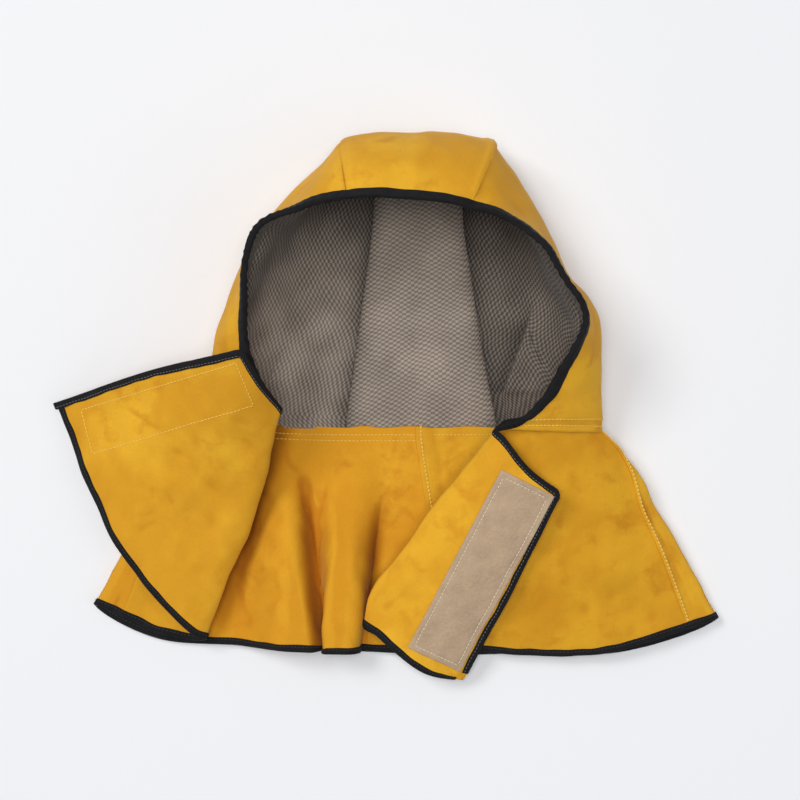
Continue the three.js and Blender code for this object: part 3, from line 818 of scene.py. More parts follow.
def lapped(base, start=None, stop=None):  # carries a panel on over its neighbours past v = 0 and v = 1
    def wide(u, v):
        p = base(u, np.clip(v, 0, 1))
        for lap, past, end in ((start, v < 0, 0.0), (stop, v > 1, 1.0)):
            if lap is None or not past.any():
                continue
            other, edge, way = lap
            rows = u[past]
            own = speedAt(base, rows, np.full(len(rows), end), "v", 1 - 2 * end)
            its = speedAt(other, rows, np.full(len(rows), edge), "v", way)
            p[past] = other(rows, edge + way * np.abs(v[past] - end) * own / its)
        return p

    return wide


capeBase = {key: smoothSheet([capeRow(*row) for row in capeShape[key]])
            for key in ("backLeft", "backRight", "frontLeft", "frontRight")}
for key in ("backLeft", "backRight"):
    capeBase[key] = folded(capeBase[key])
for key in ("backRight", "frontRight"):
    capeBase[key] = flared(capeBase[key])
capeBase["frontRight"] = bulged(capeBase["frontRight"])
cape = {key: flatPanel(base, 1 if key == "frontLeft" else -1) for key, base in capeBase.items()}
overBack, overFront = (capeBase["backLeft"], 1, -1), (capeBase["frontRight"], 0, 1)
cape["backRight"]["base"] = lapped(capeBase["backRight"], overBack, overFront)
cape["backRight"]["domain"] = ((0, 1), (-capeShape["seamLap"], 1 + capeShape["sideLap"]))

creases = {  # lines in plan, depth and width, in mm: on the opened corners and on the back
    "frontLeft": [
        ((-211, -2), (-185, -19), 0.8, 3.5),
        ((-192, -66), (-192, -78), 0.55, 3),
        ((-182, -68), (-174, -82), 0.6, 3),
        ((-192, -86), (-204, -92), 0.6, 3),
        ((-208, -104), (-190, -94), 0.55, 3.5),
        ((-180, -92), (-168, -106), 0.4, 3),
        ((-124, -9), (-106, -16), 0.8, 3),
        ((-150, -60), (-128, -74), 0.7, 5),
        ((-176, -36), (-158, -44), 0.5, 4),
    ],
    "frontRight": [
        ((60, -70), (84, -62), 0.8, 4),
        ((20, -128), (44, -112), 0.9, 6),
        ((0, -170), (18, -150), 0.8, 5),
    ],
    "backLeft": [((-48, -64), (-57, -94), 1.7, 4.5), ((-74, -62), (-66, -84), 1.2, 5)],
    "backRight": [],
}
paintedFoldShade = {  # painted shade: dark lines deep in the folds and beside the left corner's fold, where shadow falls; in plan: ends, share of light lost and width, in mm
    "backLeft": [
        ((-70, -62), (-53, -250), 0.36, 5.5),
        ((-6, -90), (-15, -184), 0.42, 6),
        ((-82, 0), (-141, -178), 0.4, 11),
    ],
}


creaseEnds = {"grows": (-0.25, 0.3), "fades": (0.7, 1.25)}  # shares of a line's length


def creaseDents(p, lines):
    dents = np.zeros(len(p))
    for start, stop, depth, width in lines:
        a, b = place(start), place(stop)
        way = b - a
        along = ((p[:, :2] - a) @ way) / (way @ way)
        away = np.linalg.norm(p[:, :2] - a - np.clip(along, 0, 1)[:, None] * way, axis=1)
        ends = smooth(along, *creaseEnds["grows"]) * (1 - smooth(along, *creaseEnds["fades"]))
        dents += depth * mm * ends * np.exp(-((away / (width * mm)) ** 2))
    return dents


def capeRelief(seed, lifts, joins, laps, foldedAt, lines):
    def relief(u, v, p):
        bumps = softBumps(p, capeShape, capeShape["sizes"], seed)
        if lifts:  # what lies on the floor only rises
            bumps = -np.maximum(bumps + capeShape["floorRise"], 0)
        bumps += creaseDents(p, lines) * (v >= foldedAt)
        bumps *= smooth(u, *capeShape["calmTop"])
        for end in joins:
            bumps *= smooth(np.abs(v - end), 0, capeShape["seamCalm"])
        pressed = 1 - capeShape["hemPress"] * smooth(u, *capeShape["hemPressAt"])
        for end, rise in laps:
            away = smooth(np.maximum((v - end) * (1 - 2 * end), 0), 0, capeShape["seamReach"])
            hidden = smooth(u, *capeShape["lapHidden"]) if rise > 0 else 1.0
            bumps += rise * (1 - away) * pressed * hidden
        return bumps

    return relief


over = leather + capeShape["seamRoom"]
capeReliefs = {  # seed, on the floor or not, sewn ends, laps there, share where the opened corner starts
    "backLeft": (41, True, (0, 1), (), 0.0),
    "backRight": (51, True, (0, 1), ((0, -over), (1, over)), 0.0),
    "frontLeft": (61, False, (0,), (), 0.6),
    "frontRight": (71, False, (0,), (), 0.66),
}
for key, settings in capeReliefs.items():
    cape[key]["relief"] = capeRelief(*settings, creases[key])
print("stage: surfaces")

# Meshes


def meshOf(name, points, faces, material, **values):
    mesh = bpy.data.meshes.new(name)
    mesh.from_pydata(points.tolist(), [], faces.tolist())
    for key, value in values.items():
        kind = "FLOAT" if value.ndim == 1 else "FLOAT_VECTOR"
        layer = mesh.attributes.new(key, kind, "POINT")
        layer.data.foreach_set("value" if value.ndim == 1 else "vector", value.astype(np.float32).ravel())
    work = bmesh.new()
    work.from_mesh(mesh)
    bmesh.ops.recalc_face_normals(work, faces=work.faces)
    work.to_mesh(mesh)
    work.free()
    mesh.shade_smooth()
    mesh.materials.append(material)
    piece = bpy.data.objects.new(name, mesh)
    scene.collection.objects.link(piece)
    return piece


def ridges(p, n, reach):  # how far each place stands out from the cloth round it
    rows, columns = p.shape[:2]
    wide = np.pad(p, ((reach, reach), (reach, reach), (0, 0)), mode="edge")
    mean = sum(wide[reach + i : reach + i + rows, reach + j : reach + j + columns]
               for i, j in ((reach, 0), (-reach, 0), (0, reach), (0, -reach))) / 4
    stand = ((p - mean) * n).sum(-1)
    stand[:reach] = stand[-reach:] = 0
    stand[:, :reach] = stand[:, -reach:] = 0
    return stand


def alongGrid(p):  # metres along the cloth in both directions, from one corner
    runs = []
    for axis in (1, 0):
        step = np.linalg.norm(np.diff(p, axis=axis), axis=-1)
        run = np.cumsum(step, axis=axis)
        runs.append(np.pad(run, ((0, 0), (1, 0)) if axis else ((1, 0), (0, 0))))
    return np.stack([runs[0], runs[1], np.zeros_like(runs[0])], -1)


def quadsOf(index):  # faces over a grid of point numbers
    return np.stack((index[:-1, :-1], index[:-1, 1:], index[1:, 1:], index[1:, :-1]), -1).reshape(-1, 4)


# How far the round rim stands out, in thicknesses, and what counts as a worn ridge or a hollow, where the
# hide is darkened partly as pressed nap and partly as painted shade
sheetForm = {"rimOut": 0.4, "wearReach": 3, "wearRise": 0.9 * mm}


# A closed sheet with a round rim
def sheetMesh(name, low, high, n, material, wear=None, turn=0, shades=(1.0, 1.0)):
    rows, columns = low.shape[:2]
    count = rows * columns
    index = np.arange(count).reshape(rows, columns)
    border = np.concatenate((index[0, :-1], index[:-1, -1], index[-1, :0:-1], index[:0:-1, 0]))
    i, j = np.divmod(border, columns)
    inner = np.clip(i, 1, rows - 2) * columns + np.clip(j, 1, columns - 2)
    middle = ((low + high) / 2).reshape(-1, 3)
    thick = np.linalg.norm(high - low, axis=-1).ravel()[border]
    rim = middle[border] + unit(middle[border] - middle[inner]) * thick[:, None] * sheetForm["rimOut"]
    points = np.concatenate((low.reshape(-1, 3), high.reshape(-1, 3), rim))
    flat = quadsOf(index)
    ring = 2 * count + np.arange(len(border))
    nextBorder, nextRing = np.roll(border, -1), np.roll(ring, -1)
    faces = np.concatenate((
        flat,
        flat[:, ::-1] + count,
        np.stack((border, ring, nextRing, nextBorder), -1),
        np.stack((ring, border + count, nextBorder + count, nextRing), -1),
    ))
    weave = alongGrid((low + high) / 2).reshape(-1, 3)
    cos, sin = math.cos(math.radians(turn)), math.sin(math.radians(turn))
    weave = weave @ np.array(((cos, sin, 0), (-sin, cos, 0), (0, 0, 1)))
    under = weave.copy()
    under[:, 2], weave[:, 2] = (np.ravel(shade) for shade in shades)
    if wear is None:
        stands = (ridges(p, n * way, sheetForm["wearReach"]) for p, way in ((low, -1), (high, 1)))
        wears = [np.clip(stand / sheetForm["wearRise"], -1, 1).ravel() for stand in stands]
    else:
        wears = [wear.ravel(), wear.ravel()]
    return meshOf(
        name, points, faces, material,
        weave=np.concatenate((under, weave, weave[border])),
        wear=np.concatenate((wears[0], wears[1], wears[1][border])),
    )


def cutPanel(panel, u, v, low, high):  # the two faces of a sheet on a panel, as grids
    p, n = onPanel(panel, u.ravel(), v.ravel())
    faces = [(p + n * np.ravel(x)[:, None]).reshape(*u.shape, 3) for x in (low, high)]
    return *faces, n.reshape(*u.shape, 3)


def dress(piece, node):
    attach(piece, "root")
    if node:
        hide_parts(node)
    return piece


pieces = {}

# Leather of the hood


def hoodSide(side):
    panel = hood[side]
    us = evenSteps(panel["base"], hoodShape["spacing"], "u", at=0.6)
    vs = evenSteps(panel["base"], hoodShape["spacing"], "v", at=0.5, ends=(0, hoodShape["neckEnd"]))
    name = "hoodSide" + side.capitalize()
    pieces[name] = sheetMesh(name, *cutPanel(panel, *np.meshgrid(us, vs), 0.0, leather), finish["gold"])
    dress(pieces[name], "hood_side_" + side)


def downCentre(neckEnd):  # share of the centre strip for a share of the back seam
    return crownShare + (1 - crownShare) * neckEnd


def hoodCentre():
    panel = hood["centre"]
    toNeck = (0, downCentre(hoodShape["neckEnd"]))
    ts = evenSteps(panel["base"], hoodShape["spacing"], "v", at=0.5, ends=toNeck)
    ws = evenSteps(ruledCentre, hoodShape["spacing"], "u", at=0.2)
    lap = np.linspace(0, hoodShape["lapWidth"], 3)[1:]
    w, t = np.meshgrid(np.concatenate((ws, 1 + lap)), ts)
    kept = np.maximum(1 - smooth(t, *hoodShape["lapFades"]), hoodShape["lapLeast"])
    w = np.where(w > 1, 1 + (w - 1) * kept, w)
    pieces["hoodCentre"] = sheetMesh("hoodCentre", *cutPanel(panel, w, t, 0.0, leather), finish["gold"])
    dress(pieces["hoodCentre"], "hood_centre_panel")


hoodSide("left")
hoodSide("right")
hoodCentre()
print("stage: hood leather")

# Leather of the cape


def cornerScale(base):  # metres for one unit of u and of v at the free corner, u = 0 and v = 1
    stepU, stepV = 0.15, 0.03
    corner, down, back = base(np.array((0.0, stepU, 0.0)), np.array((1.0, 1.0, 1 - stepV)))
    return np.linalg.norm(down - corner) / stepU, np.linalg.norm(back - corner) / stepV


def roundedCorner(base, u, v):
    deep, wide = cornerScale(base)
    r = capeShape["cornerRound"]
    a, b = r - u * deep, r - (1 - v) * wide
    past = (a > 0) & (b > 0) & (np.hypot(a, b) > r)
    draw = np.where(past, r / np.maximum(np.hypot(a, b), 1e-9), 1.0)
    return np.where(past, (r - a * draw) / deep, u), np.where(past, 1 - (r - b * draw) / wide, v)


def capePanel(key, node, material):
    panel = cape[key]
    base = panel["base"]
    down = evenSteps(base, capeShape["spacing"], "u", at=0.5, ends=(1 / 3, 1))
    vs = evenSteps(base, capeShape["spacing"], "v", at=0.8, ends=panel["domain"][1])
    beat, stray, drift = capeShape["lapBeat"]
    topEdge = capeShape["lapTop"] + capeShape["lapWave"] * np.sin(vs * beat + stray * np.sin(vs * drift))
    if key.startswith("front"):  # the throat edge is cut clean
        topEdge = topEdge * (1 - smooth(vs, *capeShape["throatCut"]))
    tops = (np.linspace(edge, down[0], capeShape["topRows"])[:-1] for edge in topEdge)
    u = np.stack([np.concatenate((top, down)) for top in tops])
    v = np.repeat(vs[:, None], u.shape[1], 1)
    if key.startswith("front"):
        u, v = roundedCorner(base, u, v)
    name = "cape" + key[0].upper() + key[1:]
    inside, outside = capeShape["sides"][key]
    # Painted shade deep in the back folds darkens the inner face's colour
    paintedShade = creaseDents(base(u.ravel(), v.ravel()), paintedFoldShade.get(key, [])) / mm
    shades = (inside * (1 - paintedShade), outside)
    pieces[name] = sheetMesh(name, *cutPanel(panel, u, v, 0.0, leather), material, shades=shades)
    dress(pieces[name], node)


# The back-left panel takes the darker copy of the gold hide, painted shade
capePanel("backLeft", "cape_back_left", finish["shadedGold"])
capePanel("backRight", "cape_back_right", finish["gold"])
capePanel("frontLeft", "cape_front_left", finish["gold"])
capePanel("frontRight", "cape_front_right", finish["gold"])
print("stage: cape leather")

# Net lining

lining = {
    "sidePuff": 6 * mm,
    "centrePuff": 4 * mm,
    "soft": 1.6 * mm,
    "softSize": 75 * mm,
    "creased": 0.7 * mm,
    "creasedSize": 32 * mm,
    "pucker": 0.9 * mm,
    "puckerPitch": 6.5 * mm,
    "puckerDrift": 40 * mm,
    "puckerStray": 2.5,
    "puckerFrom": 10 * mm,
    "margin": 9 * mm,
    "marginWide": 2.6,  # the drawn-in margin is wider part of the way down the sides
    "marginWideAt": (0.4, 0.22),
    "seamWidth": 11 * mm,
    "rimRoom": (2 * mm, 60 * mm),
    "endRoom": (4 * mm, 30 * mm),
    "neckEnd": 0.979,
    "centreWidth": 0.1,
    "slack": 0.36,
    "slackGrows": (0, 0.3),
    "slackFades": (0.7, 0.93),
    "looseFrom": 0.14,
    "looseFull": 0.26,
    "hollow": (0.7, 9 * mm, 45 * mm),  # painted shade where the seams' upper ends lie deep in the crown
    "selvageHighlight": 13 * mm,  # paler band of the folded selvage under the face tape, painted highlight where the fold catches light, and where it starts and ends
    "selvageHighlightFrom": (-85 * mm, -60 * mm),
    "selvageHighlightTo": (25 * mm, 45 * mm),
    # painted shade of soft folds, in patches over each panel: how strong and how big
    "uneven": {"left": 0.09, "right": 0.09, "centre": 0.03},
    "unevenSize": 38 * mm,
    "backDown": (0.2, 0.8),  # where the sides are near the back, down and across, and the centre strip, for the painted shade
    "backAcross": (0, 0.75),
    "backCentre": (0.3, 0.6),
    "seeds": {"left": 81, "right": 91, "centre": 101},
    "turn": {"left": 102, "right": -62, "centre": 8},  # how the net is turned on each panel, in degrees
    "spacing": 1.7 * mm,
}
liningCrease = {  # line in plan, in mm, the step along it, and the painted shade on the cloth tucked under it
    "from": (128, 90),
    "to": (97, 8),
    "rise": 5 * mm,
    "left": 11 * mm,
    "right": 42 * mm,
    "edge": (-1 * mm, 2 * mm),
    "tucked": 1 * mm,
    "fades": (0.35, 0.08),
    "dim": 0.5,
}
liningPaintedShade = {  # painted shade: light kept far in and near the back, share lost along the seams and how wide that is
    "left": (0.38, 0.86, 0.5, 7 * mm),
    "right": (0.37, 0.5, 0.55, 9 * mm),
    "centre": (0.4, 0.89, 0.4, 5 * mm),
}


def creaseStep(p):  # cloth to the right of the crease lies over the cloth to its left
    (x0, y0), (x1, y1) = place(liningCrease["from"]), place(liningCrease["to"])
    along = np.clip((y0 - p[:, 1]) / (y0 - y1), 0, 1)
    away = p[:, 0] - (x0 + (x1 - x0) * along)
    top, bottom = liningCrease["fades"]
    fade = smooth(along, 0, top) * smooth(1 - along, 0, bottom)
    upper = smooth(away, *liningCrease["edge"]) * np.exp(-np.maximum(away, 0) / liningCrease["right"])
    under = np.exp(-np.maximum(-away, 0) / liningCrease["left"]) * (away < liningCrease["tucked"])
    return fade, upper, under


def loosePanel(side):  # hangs part of the way across from the face edge to the back seam
    own, start = hood[side], lining["looseFrom"]

    def base(u, v):
        p = own["base"](u, v)
        share = np.clip((u - start) / (1 - start), 0, 1)[:, None]
        near, far = own["base"](np.full(len(u), start), v), own["base"](np.ones(len(u)), v)
        slack = lining["slack"] * smooth(v, *lining["slackGrows"]) * (1 - smooth(v, *lining["slackFades"]))
        slack = slack * smooth(u, start, lining["looseFull"])
        return p + (near + (far - near) * share - p) * slack[:, None]

    return {**own, "base": base, "relief": lambda u, v, p: own["relief"](u, v, own["base"](u, v))}


def liningPiece(key, panel, u, v, rim, seam, puff, nearBack):
    shape, strip, seed = u.shape, key == "centre", lining["seeds"][key]
    p = panel["base"](u.ravel(), v.ravel())
    far, near, seamDim, seamReach = liningPaintedShade[key]
    # Painted shade: darker far in and along the seams
    shade = (1 - seamDim * np.exp(-seam / seamReach)) * (far + (near - far) * nearBack)
    rim, seam, shade = rim.ravel(), seam.ravel(), shade.ravel()
    end = ((hoodShape["neckEnd"] - v) * (rimLength / crownShare if strip else rimLength)).ravel()
    at, reach = lining["marginWideAt"]
    wider = 0.0 if strip else lining["marginWide"] * np.exp(-(((v.ravel() - at) / reach) ** 2))
    margin = np.exp(-rim / (lining["margin"] * (1 + wider)))
    run = (u if strip else v).ravel() * rimLength
    drift = lining["puckerStray"] * undulation(p, lining["puckerDrift"], seed)
    gather = np.sin(run * 2 * math.pi / lining["puckerPitch"] + drift)
    room = (1 - np.exp(-seam / lining["seamWidth"])) * smooth(rim, *lining["rimRoom"])
    room = room * smooth(end, *lining["endRoom"])
    sag = lining["soft"] * undulation(p, lining["softSize"], seed + 1)
    sag += lining["creased"] * undulation(p, lining["creasedSize"], seed + 2)
    gathered = lining["pucker"] * (1 + gather) * margin * smooth(rim, 0, lining["puckerFrom"])
    depth = room * (puff + sag) + gathered
    if key == "right":
        fade, upper, under = creaseStep(p)
        depth = depth * (1 - fade * under) + fade * upper * liningCrease["rise"] * room
        # Painted shade on the cloth tucked under the crease
        shade = shade * (1 - liningCrease["dim"] * fade * under)
    # Painted shade in the hollows where the seams end in the crown
    dim, wide, deep = lining["hollow"]
    hollow = dim * np.exp(-seam / wide) * np.exp(-rim / deep)
    # Painted highlight on the folded selvage under the crown's tape
    selvageHighlight = smooth(p[:, 0], *lining["selvageHighlightFrom"]) * (1 - smooth(p[:, 0], *lining["selvageHighlightTo"]))
    selvageHighlight = selvageHighlight * np.exp(-((rim / lining["selvageHighlight"]) ** 4))
    patchy = lining["uneven"][key] * undulation(p, lining["unevenSize"], seed + 3)
    shade = (shade * (1 - hollow) * (1 + patchy) * (1 + selvageHighlight)).reshape(shape)
    inside = -(cloth["netGap"] + depth).reshape(shape)
    name = "lining" + key.capitalize()
    sheet = cutPanel(panel, u, v, inside - cloth["net"], inside)
    turn = lining["turn"][key]
    pieces[name] = sheetMesh(name, *sheet, finish["net"], margin.reshape(shape), turn, (shade, shade))
    dress(pieces[name], "lining_" + key)


for side in ("left", "right"):
    base = hood[side]["base"]
    us = evenSteps(base, lining["spacing"], "u", at=0.6)
    vs = evenSteps(base, lining["spacing"], "v", at=0.5, ends=(0, lining["neckEnd"]))
    u, v = np.meshgrid(us, vs)
    seam = np.minimum((1 - u) * wallLength, v * rimLength)
    nearBack = smooth(v, *lining["backDown"]) * smooth(u, *lining["backAcross"])
    liningPiece(side, loosePanel(side), u, v, u * wallLength, seam, lining["sidePuff"], nearBack)
ws = evenSteps(ruledCentre, lining["spacing"], "u", at=0.8)
toNeck = (0, downCentre(lining["neckEnd"]))
ts = evenSteps(hood["centre"]["base"], lining["spacing"], "v", at=0.5, ends=toNeck)
w, t = np.meshgrid(ws, ts)
seam = np.minimum(w, 1 - w) * lining["centreWidth"]
rim = t * wallLength / crownShare
nearBack = smooth(t, *lining["backCentre"])
liningPiece("centre", hood["centre"], w, t, rim, seam, lining["centrePuff"], nearBack)
print("stage: lining")

# Binding tape, folded over the edges

tape = {
    "faceLeg": 8 * mm,
    "crownLeg": 6.3 * mm,
    "leg": 5.4 * mm,
    "faceWidens": (0, 0.3),
    "faceChanges": ((-0.14, 0.3, 0.5), (0.2, 0.8, 0.88), (-0.36, 0.9, 0.98)),  # share wider, from and to
    "hemNarrows": (0.8, 0.97),
    "wander": 0.35 * mm,
    "wanderSize": 22 * mm,
    "wanderSeed": 7,
    "across": (1.0, 0.85, 0.5, 0.2),  # sections of a leg from its free edge, which is thinner, to the fold
    "edgeThick": 0.4,
    "bend": (90, 50, 15),
    "bendInside": 0.3,
    "stitchShare": 0.66,
    "overHem": (0.955, 0.975),  # the front tape goes over the hem's
    "cornerSteps": 8,
    "turnReach": 1.6,
    "turnSteps": 12,
    "turnFull": 0.9,
    "spacing": 2.2 * mm,
}
tapeEnds = {  # where each run starts and stops along its edge
    "left": (0.985, 0.01),
    "crown": (0.03, 0.97),
    "right": (0.01, 0.955),
    "frontLeft": (0.46, 1.006),
    "frontRight": (0.53, 0.972),
}
hemEnds = {  # the same along the hem, and how far the leg narrows
    "frontLeft": (0.999, 0.005, 0.0),
    "backLeft": (0.005, 0.995, 0.0),
    "backRight": (0.005, 0.995, 0.0),
    "frontRight": (0.005, 0.97, 0.6),
}
rimStack = leather + cloth["netGap"] + cloth["net"]
rimMiddle = (leather - cloth["netGap"] - cloth["net"]) / 2


def tapeRun(panel, u, v, inwards, leg, half, middle):  # sections of a folded tape at places on an edge
    u, v = np.asarray(u, float), np.asarray(v, float)
    du, dv = (np.broadcast_to(np.asarray(x, float), u.shape) for x in inwards)
    step = 1e-3
    edge, n = onPanel(panel, u, v, middle)
    near = onPanel(panel, u + du * step, v + dv * step, middle)[0]
    share = step / np.linalg.norm(near - edge, axis=1)
    out = unit(edge - near)
    leg = leg + tape["wander"] * undulation(edge, tape["wanderSize"], tape["wanderSeed"])
    inner = np.broadcast_to(half + cloth["tapeGap"], u.shape)
    outer = inner + cloth["tape"]
    nose = cloth["tapeGap"] + cloth["tape"]
    tops = [inner + tape["edgeThick"] * cloth["tape"]] + [outer] * (len(tape["across"]) - 1)
    bends = ((nose, outer), (tape["bendInside"] * nose, inner))

    def legAt(reach, height):
        return onPanel(panel, u + du * share * leg * reach, v + dv * share * leg * reach, middle + height)

    rows, stitches = [], []
    for way in (1, -1):
        half = []
        for reach, top in zip(tape["across"], tops):
            half.append([legAt(reach, way * height)[0] for height in (top, inner)])
        for angle in map(math.radians, tape["bend"]):
            cos, sin = math.cos(angle), math.sin(angle)
            half.append([edge + out * (r * cos) + n * (way * height * sin)[:, None] for r, height in bends])
        rows += half[::way]
        p, m = legAt(tape["stitchShare"], way * outer)
        stitches.append((p, m * way))
    return np.array(rows).transpose(2, 0, 1, 3), stitches  # stations, places on the profile, outer and inner


def joinRuns(runs):
    sections = np.concatenate([run[0] for run in runs])
    lines = [tuple(np.concatenate([run[1][way][k] for run in runs]) for k in (0, 1)) for way in (0, 1)]
    return sections, lines


def tapeMesh(name, node, sections):
    stations, places = sections.shape[:2]
    points = sections.reshape(-1, 3)
    index = np.arange(stations * places * 2).reshape(stations, places, 2)
    grids = [index[:, :, 0], index[:, :, 1], index[:, 0], index[:, -1], index[0], index[-1]]
    faces = np.concatenate([quadsOf(grid) for grid in grids])
    middle = sections.mean(axis=(1, 2))
    run = np.concatenate(([0], np.cumsum(np.linalg.norm(np.diff(middle, axis=0), axis=1))))
    width = np.cumsum(np.concatenate(([0], np.linalg.norm(np.diff(sections[0, :, 0], axis=0), axis=1))))
    weave = np.zeros((stations, places, 2, 3))
    weave[..., 0] = run[:, None, None]
    weave[..., 1] = width[None, :, None]
    pieces[name] = meshOf(name, points, faces, finish["tape"], weave=weave.reshape(-1, 3))
    dress(pieces[name], node)


def rimRun(side):
    vs = evenSteps(hood[side]["base"], tape["spacing"], "v", at=0.0, ends=tapeEnds[side])
    leg = tape["crownLeg"] + (tape["faceLeg"] - tape["crownLeg"]) * smooth(vs, *tape["faceWidens"])
    leg = leg * (1 + sum(change * smooth(vs, start, stop) for change, start, stop in tape["faceChanges"]))
    return tapeRun(hood[side], np.zeros(len(vs)), vs, (1, 0), leg, rimStack / 2, rimMiddle)


def crownRun():
    ws = evenSteps(ruledCentre, tape["spacing"], "u", at=0.0, ends=tapeEnds["crown"])
    return tapeRun(hood["centre"], ws, np.zeros(len(ws)), (0, 1), tape["crownLeg"], rimStack / 2, rimMiddle)


def frontRun(key):  # along the throat, round the free corner and down the front
    panel = cape[key]
    base = panel["base"]
    start, stop = tapeEnds[key]
    deep, wide = cornerScale(base)
    r, half = capeShape["cornerRound"], leather / 2
    throat = evenSteps(base, tape["spacing"], "v", at=0.0, ends=(start, 1 - r / wide))
    front = evenSteps(base, tape["spacing"], "u", at=1.0, ends=(r / deep, stop))
    angle = np.radians(np.linspace(0, 90, tape["cornerSteps"])[1:-1])
    cos, sin = np.cos(angle), np.sin(angle)
    overHem = half + (cloth["tape"] + cloth["tapeGap"]) * smooth(front, *tape["overHem"])
    turnU, turnV = r * (1 - cos) / deep, 1 - r * (1 - sin) / wide
    return joinRuns([
        tapeRun(panel, np.zeros(len(throat)), throat, (1, 0), tape["leg"], half, half),
        tapeRun(panel, turnU, turnV, (cos / deep, -sin / wide), tape["leg"], half, half),
        tapeRun(panel, front, np.ones(len(front)), (0, -1), tape["leg"], overHem, half),
    ])


def hemRun(key):
    start, stop, narrowed = hemEnds[key]
    vs = evenSteps(cape[key]["base"], tape["spacing"], "v", at=1.0, ends=(start, stop))
    leg = tape["leg"] * (1 - narrowed * smooth(vs, *tape["hemNarrows"]))
    return tapeRun(cape[key], np.ones(len(vs)), vs, (-1, 0), leg, leather / 2, leather / 2)


def tapePose(section):  # the cloth edge inside a tape, and the tape's own axes there
    fold, bend = len(section) // 2, len(tape["bend"])
    top, under = section[fold - bend, 0], section[fold + bend - 1, 0]
    edge, up = (top + under) / 2, unit(top - under)
    inwards = (section[0, 0] + section[-1, 0]) / 2 - edge
    inwards = unit(inwards - up * (inwards @ up))
    return edge, np.stack((inwards, up, np.cross(inwards, up)))


def tapeTurn(before, after):  # carries a tape on from the end of one run to the start of the next
    (p0, axes0), (p1, axes1) = tapePose(before[-1]), tapePose(after[0])
    reach = np.linalg.norm(p1 - p0) * tape["turnReach"]
    way0 = unit(p0 - tapePose(before[-2])[0]) * reach
    way1 = unit(tapePose(after[1])[0] - p1) * reach
    turn0, turn1 = (Matrix(axes.tolist()).to_quaternion() for axes in (axes0, axes1))
    own0, own1 = (before[-1] - p0) @ axes0.T, (after[0] - p1) @ axes1.T
    sections = []
    for k in np.linspace(0, 1, tape["turnSteps"] + 1)[:-1]:
        edge = (2 * k**3 - 3 * k**2 + 1) * p0 + (3 * k**2 - 2 * k**3) * p1
        edge = edge + (k**3 - 2 * k**2 + k) * way0 + (k**3 - k**2) * way1
        axes = np.array(turn0.slerp(turn1, k).to_matrix())
        full = (1, 1 + tape["turnFull"] * math.sin(math.pi * k), 1)
        sections.append(edge + ((own0 * (1 - k) + own1 * k) * full) @ axes)
    return np.array(sections)


tapeSeams = {}
faceSections = joinRuns([rimRun("left"), crownRun(), rimRun("right")])[0]
tapeMesh("faceBinding", "face_binding", faceSections)
leftSections, tapeSeams["left"] = frontRun("frontLeft")
tapeMesh("frontBindingLeft", "front_binding_left", leftSections)
rightSections, tapeSeams["right"] = frontRun("frontRight")
rightSections = np.concatenate((tapeTurn(faceSections, rightSections), rightSections))
tapeMesh("frontBindingRight", "front_binding_right", rightSections)
hemSections, tapeSeams["hem"] = joinRuns([hemRun(key) for key in hemEnds])
tapeMesh("hemBinding", "hem_binding", hemSections)
print("stage: binding")

# Hook-and-loop strips, laid straight on the front corners

strips = {  # plan and size in mm, and the face of the corner that carries the strip
    "right": {"panel": "frontRight", "face": -1,
              "centre": (79, -136.6), "turn": 63, "length": 167, "width": 48},
    "left": {"panel": "frontLeft", "face": 1,
             "centre": (-187, -10), "turn": 14, "length": 138, "width": 40},
    "pile": 0.16 * mm,
    "pileSeed": 5,
    "pileFrom": (0.5 * mm, 2 * mm),
    "sewnInset": 4.2 * mm,
    "sewnDepth": 0.45 * mm,
    "sewnWidth": 0.9 * mm,
    "tapeRoom": 0.2 * mm,
    "tapeFade": 4 * mm,
    "threadSunk": 0.25 * mm,
    "threadPoints": 80,
    "spacing": 0.9 * mm,
}
cornerGuess = (0.6, 0.9)  # u and v near the middle of an opened corner


# u and v where a panel lies over places in plan, or is seen there by the camera
def overPlan(panel, x, y, guess, seen=False, rounds=14):
    u, v = (np.full(len(x), g) for g in guess)
    base, step = panel["base"], 1e-3
    eye = np.array(view["place"])

    def plan(p):
        if not seen:
            return p[:, :2]
        return eye[:2] + (p[:, :2] - eye[:2]) / (1 - p[:, 2:] / eye[2])

    for _ in range(rounds):
        p = plan(base(u, v))
        along = (plan(base(u + step, v)) - p) / step
        across = (plan(base(u, v + step)) - p) / step
        area = along[:, 0] * across[:, 1] - along[:, 1] * across[:, 0]
        dx, dy = x - p[:, 0], y - p[:, 1]
        u = np.clip(u + (dx * across[:, 1] - dy * across[:, 0]) / area, step, 1 - 2 * step)
        v = np.clip(v + (dy * along[:, 0] - dx * along[:, 1]) / area, step, 1 - 2 * step)
    return u, v


def stripPlan(strip, a, b):  # metres in plan at shares along and across the strip
    turn = math.radians(strip["turn"])
    along, across = (a - 0.5) * strip["length"], (b - 0.5) * strip["width"]
    x = strip["centre"][0] + along * math.cos(turn) - across * math.sin(turn)
    y = strip["centre"][1] + along * math.sin(turn) + across * math.cos(turn)
    return place(np.stack((x, y), -1)).T


def underStrip(strip, a, b):  # places on the corner at shares of the strip, and the way out there
    panel = cape[strip["panel"]]
    u, v = overPlan(panel, *stripPlan(strip, a, b), cornerGuess)
    p, n = onPanel(panel, u, v, leather if strip["face"] > 0 else 0.0)
    return u, v, p, n * strip["face"]


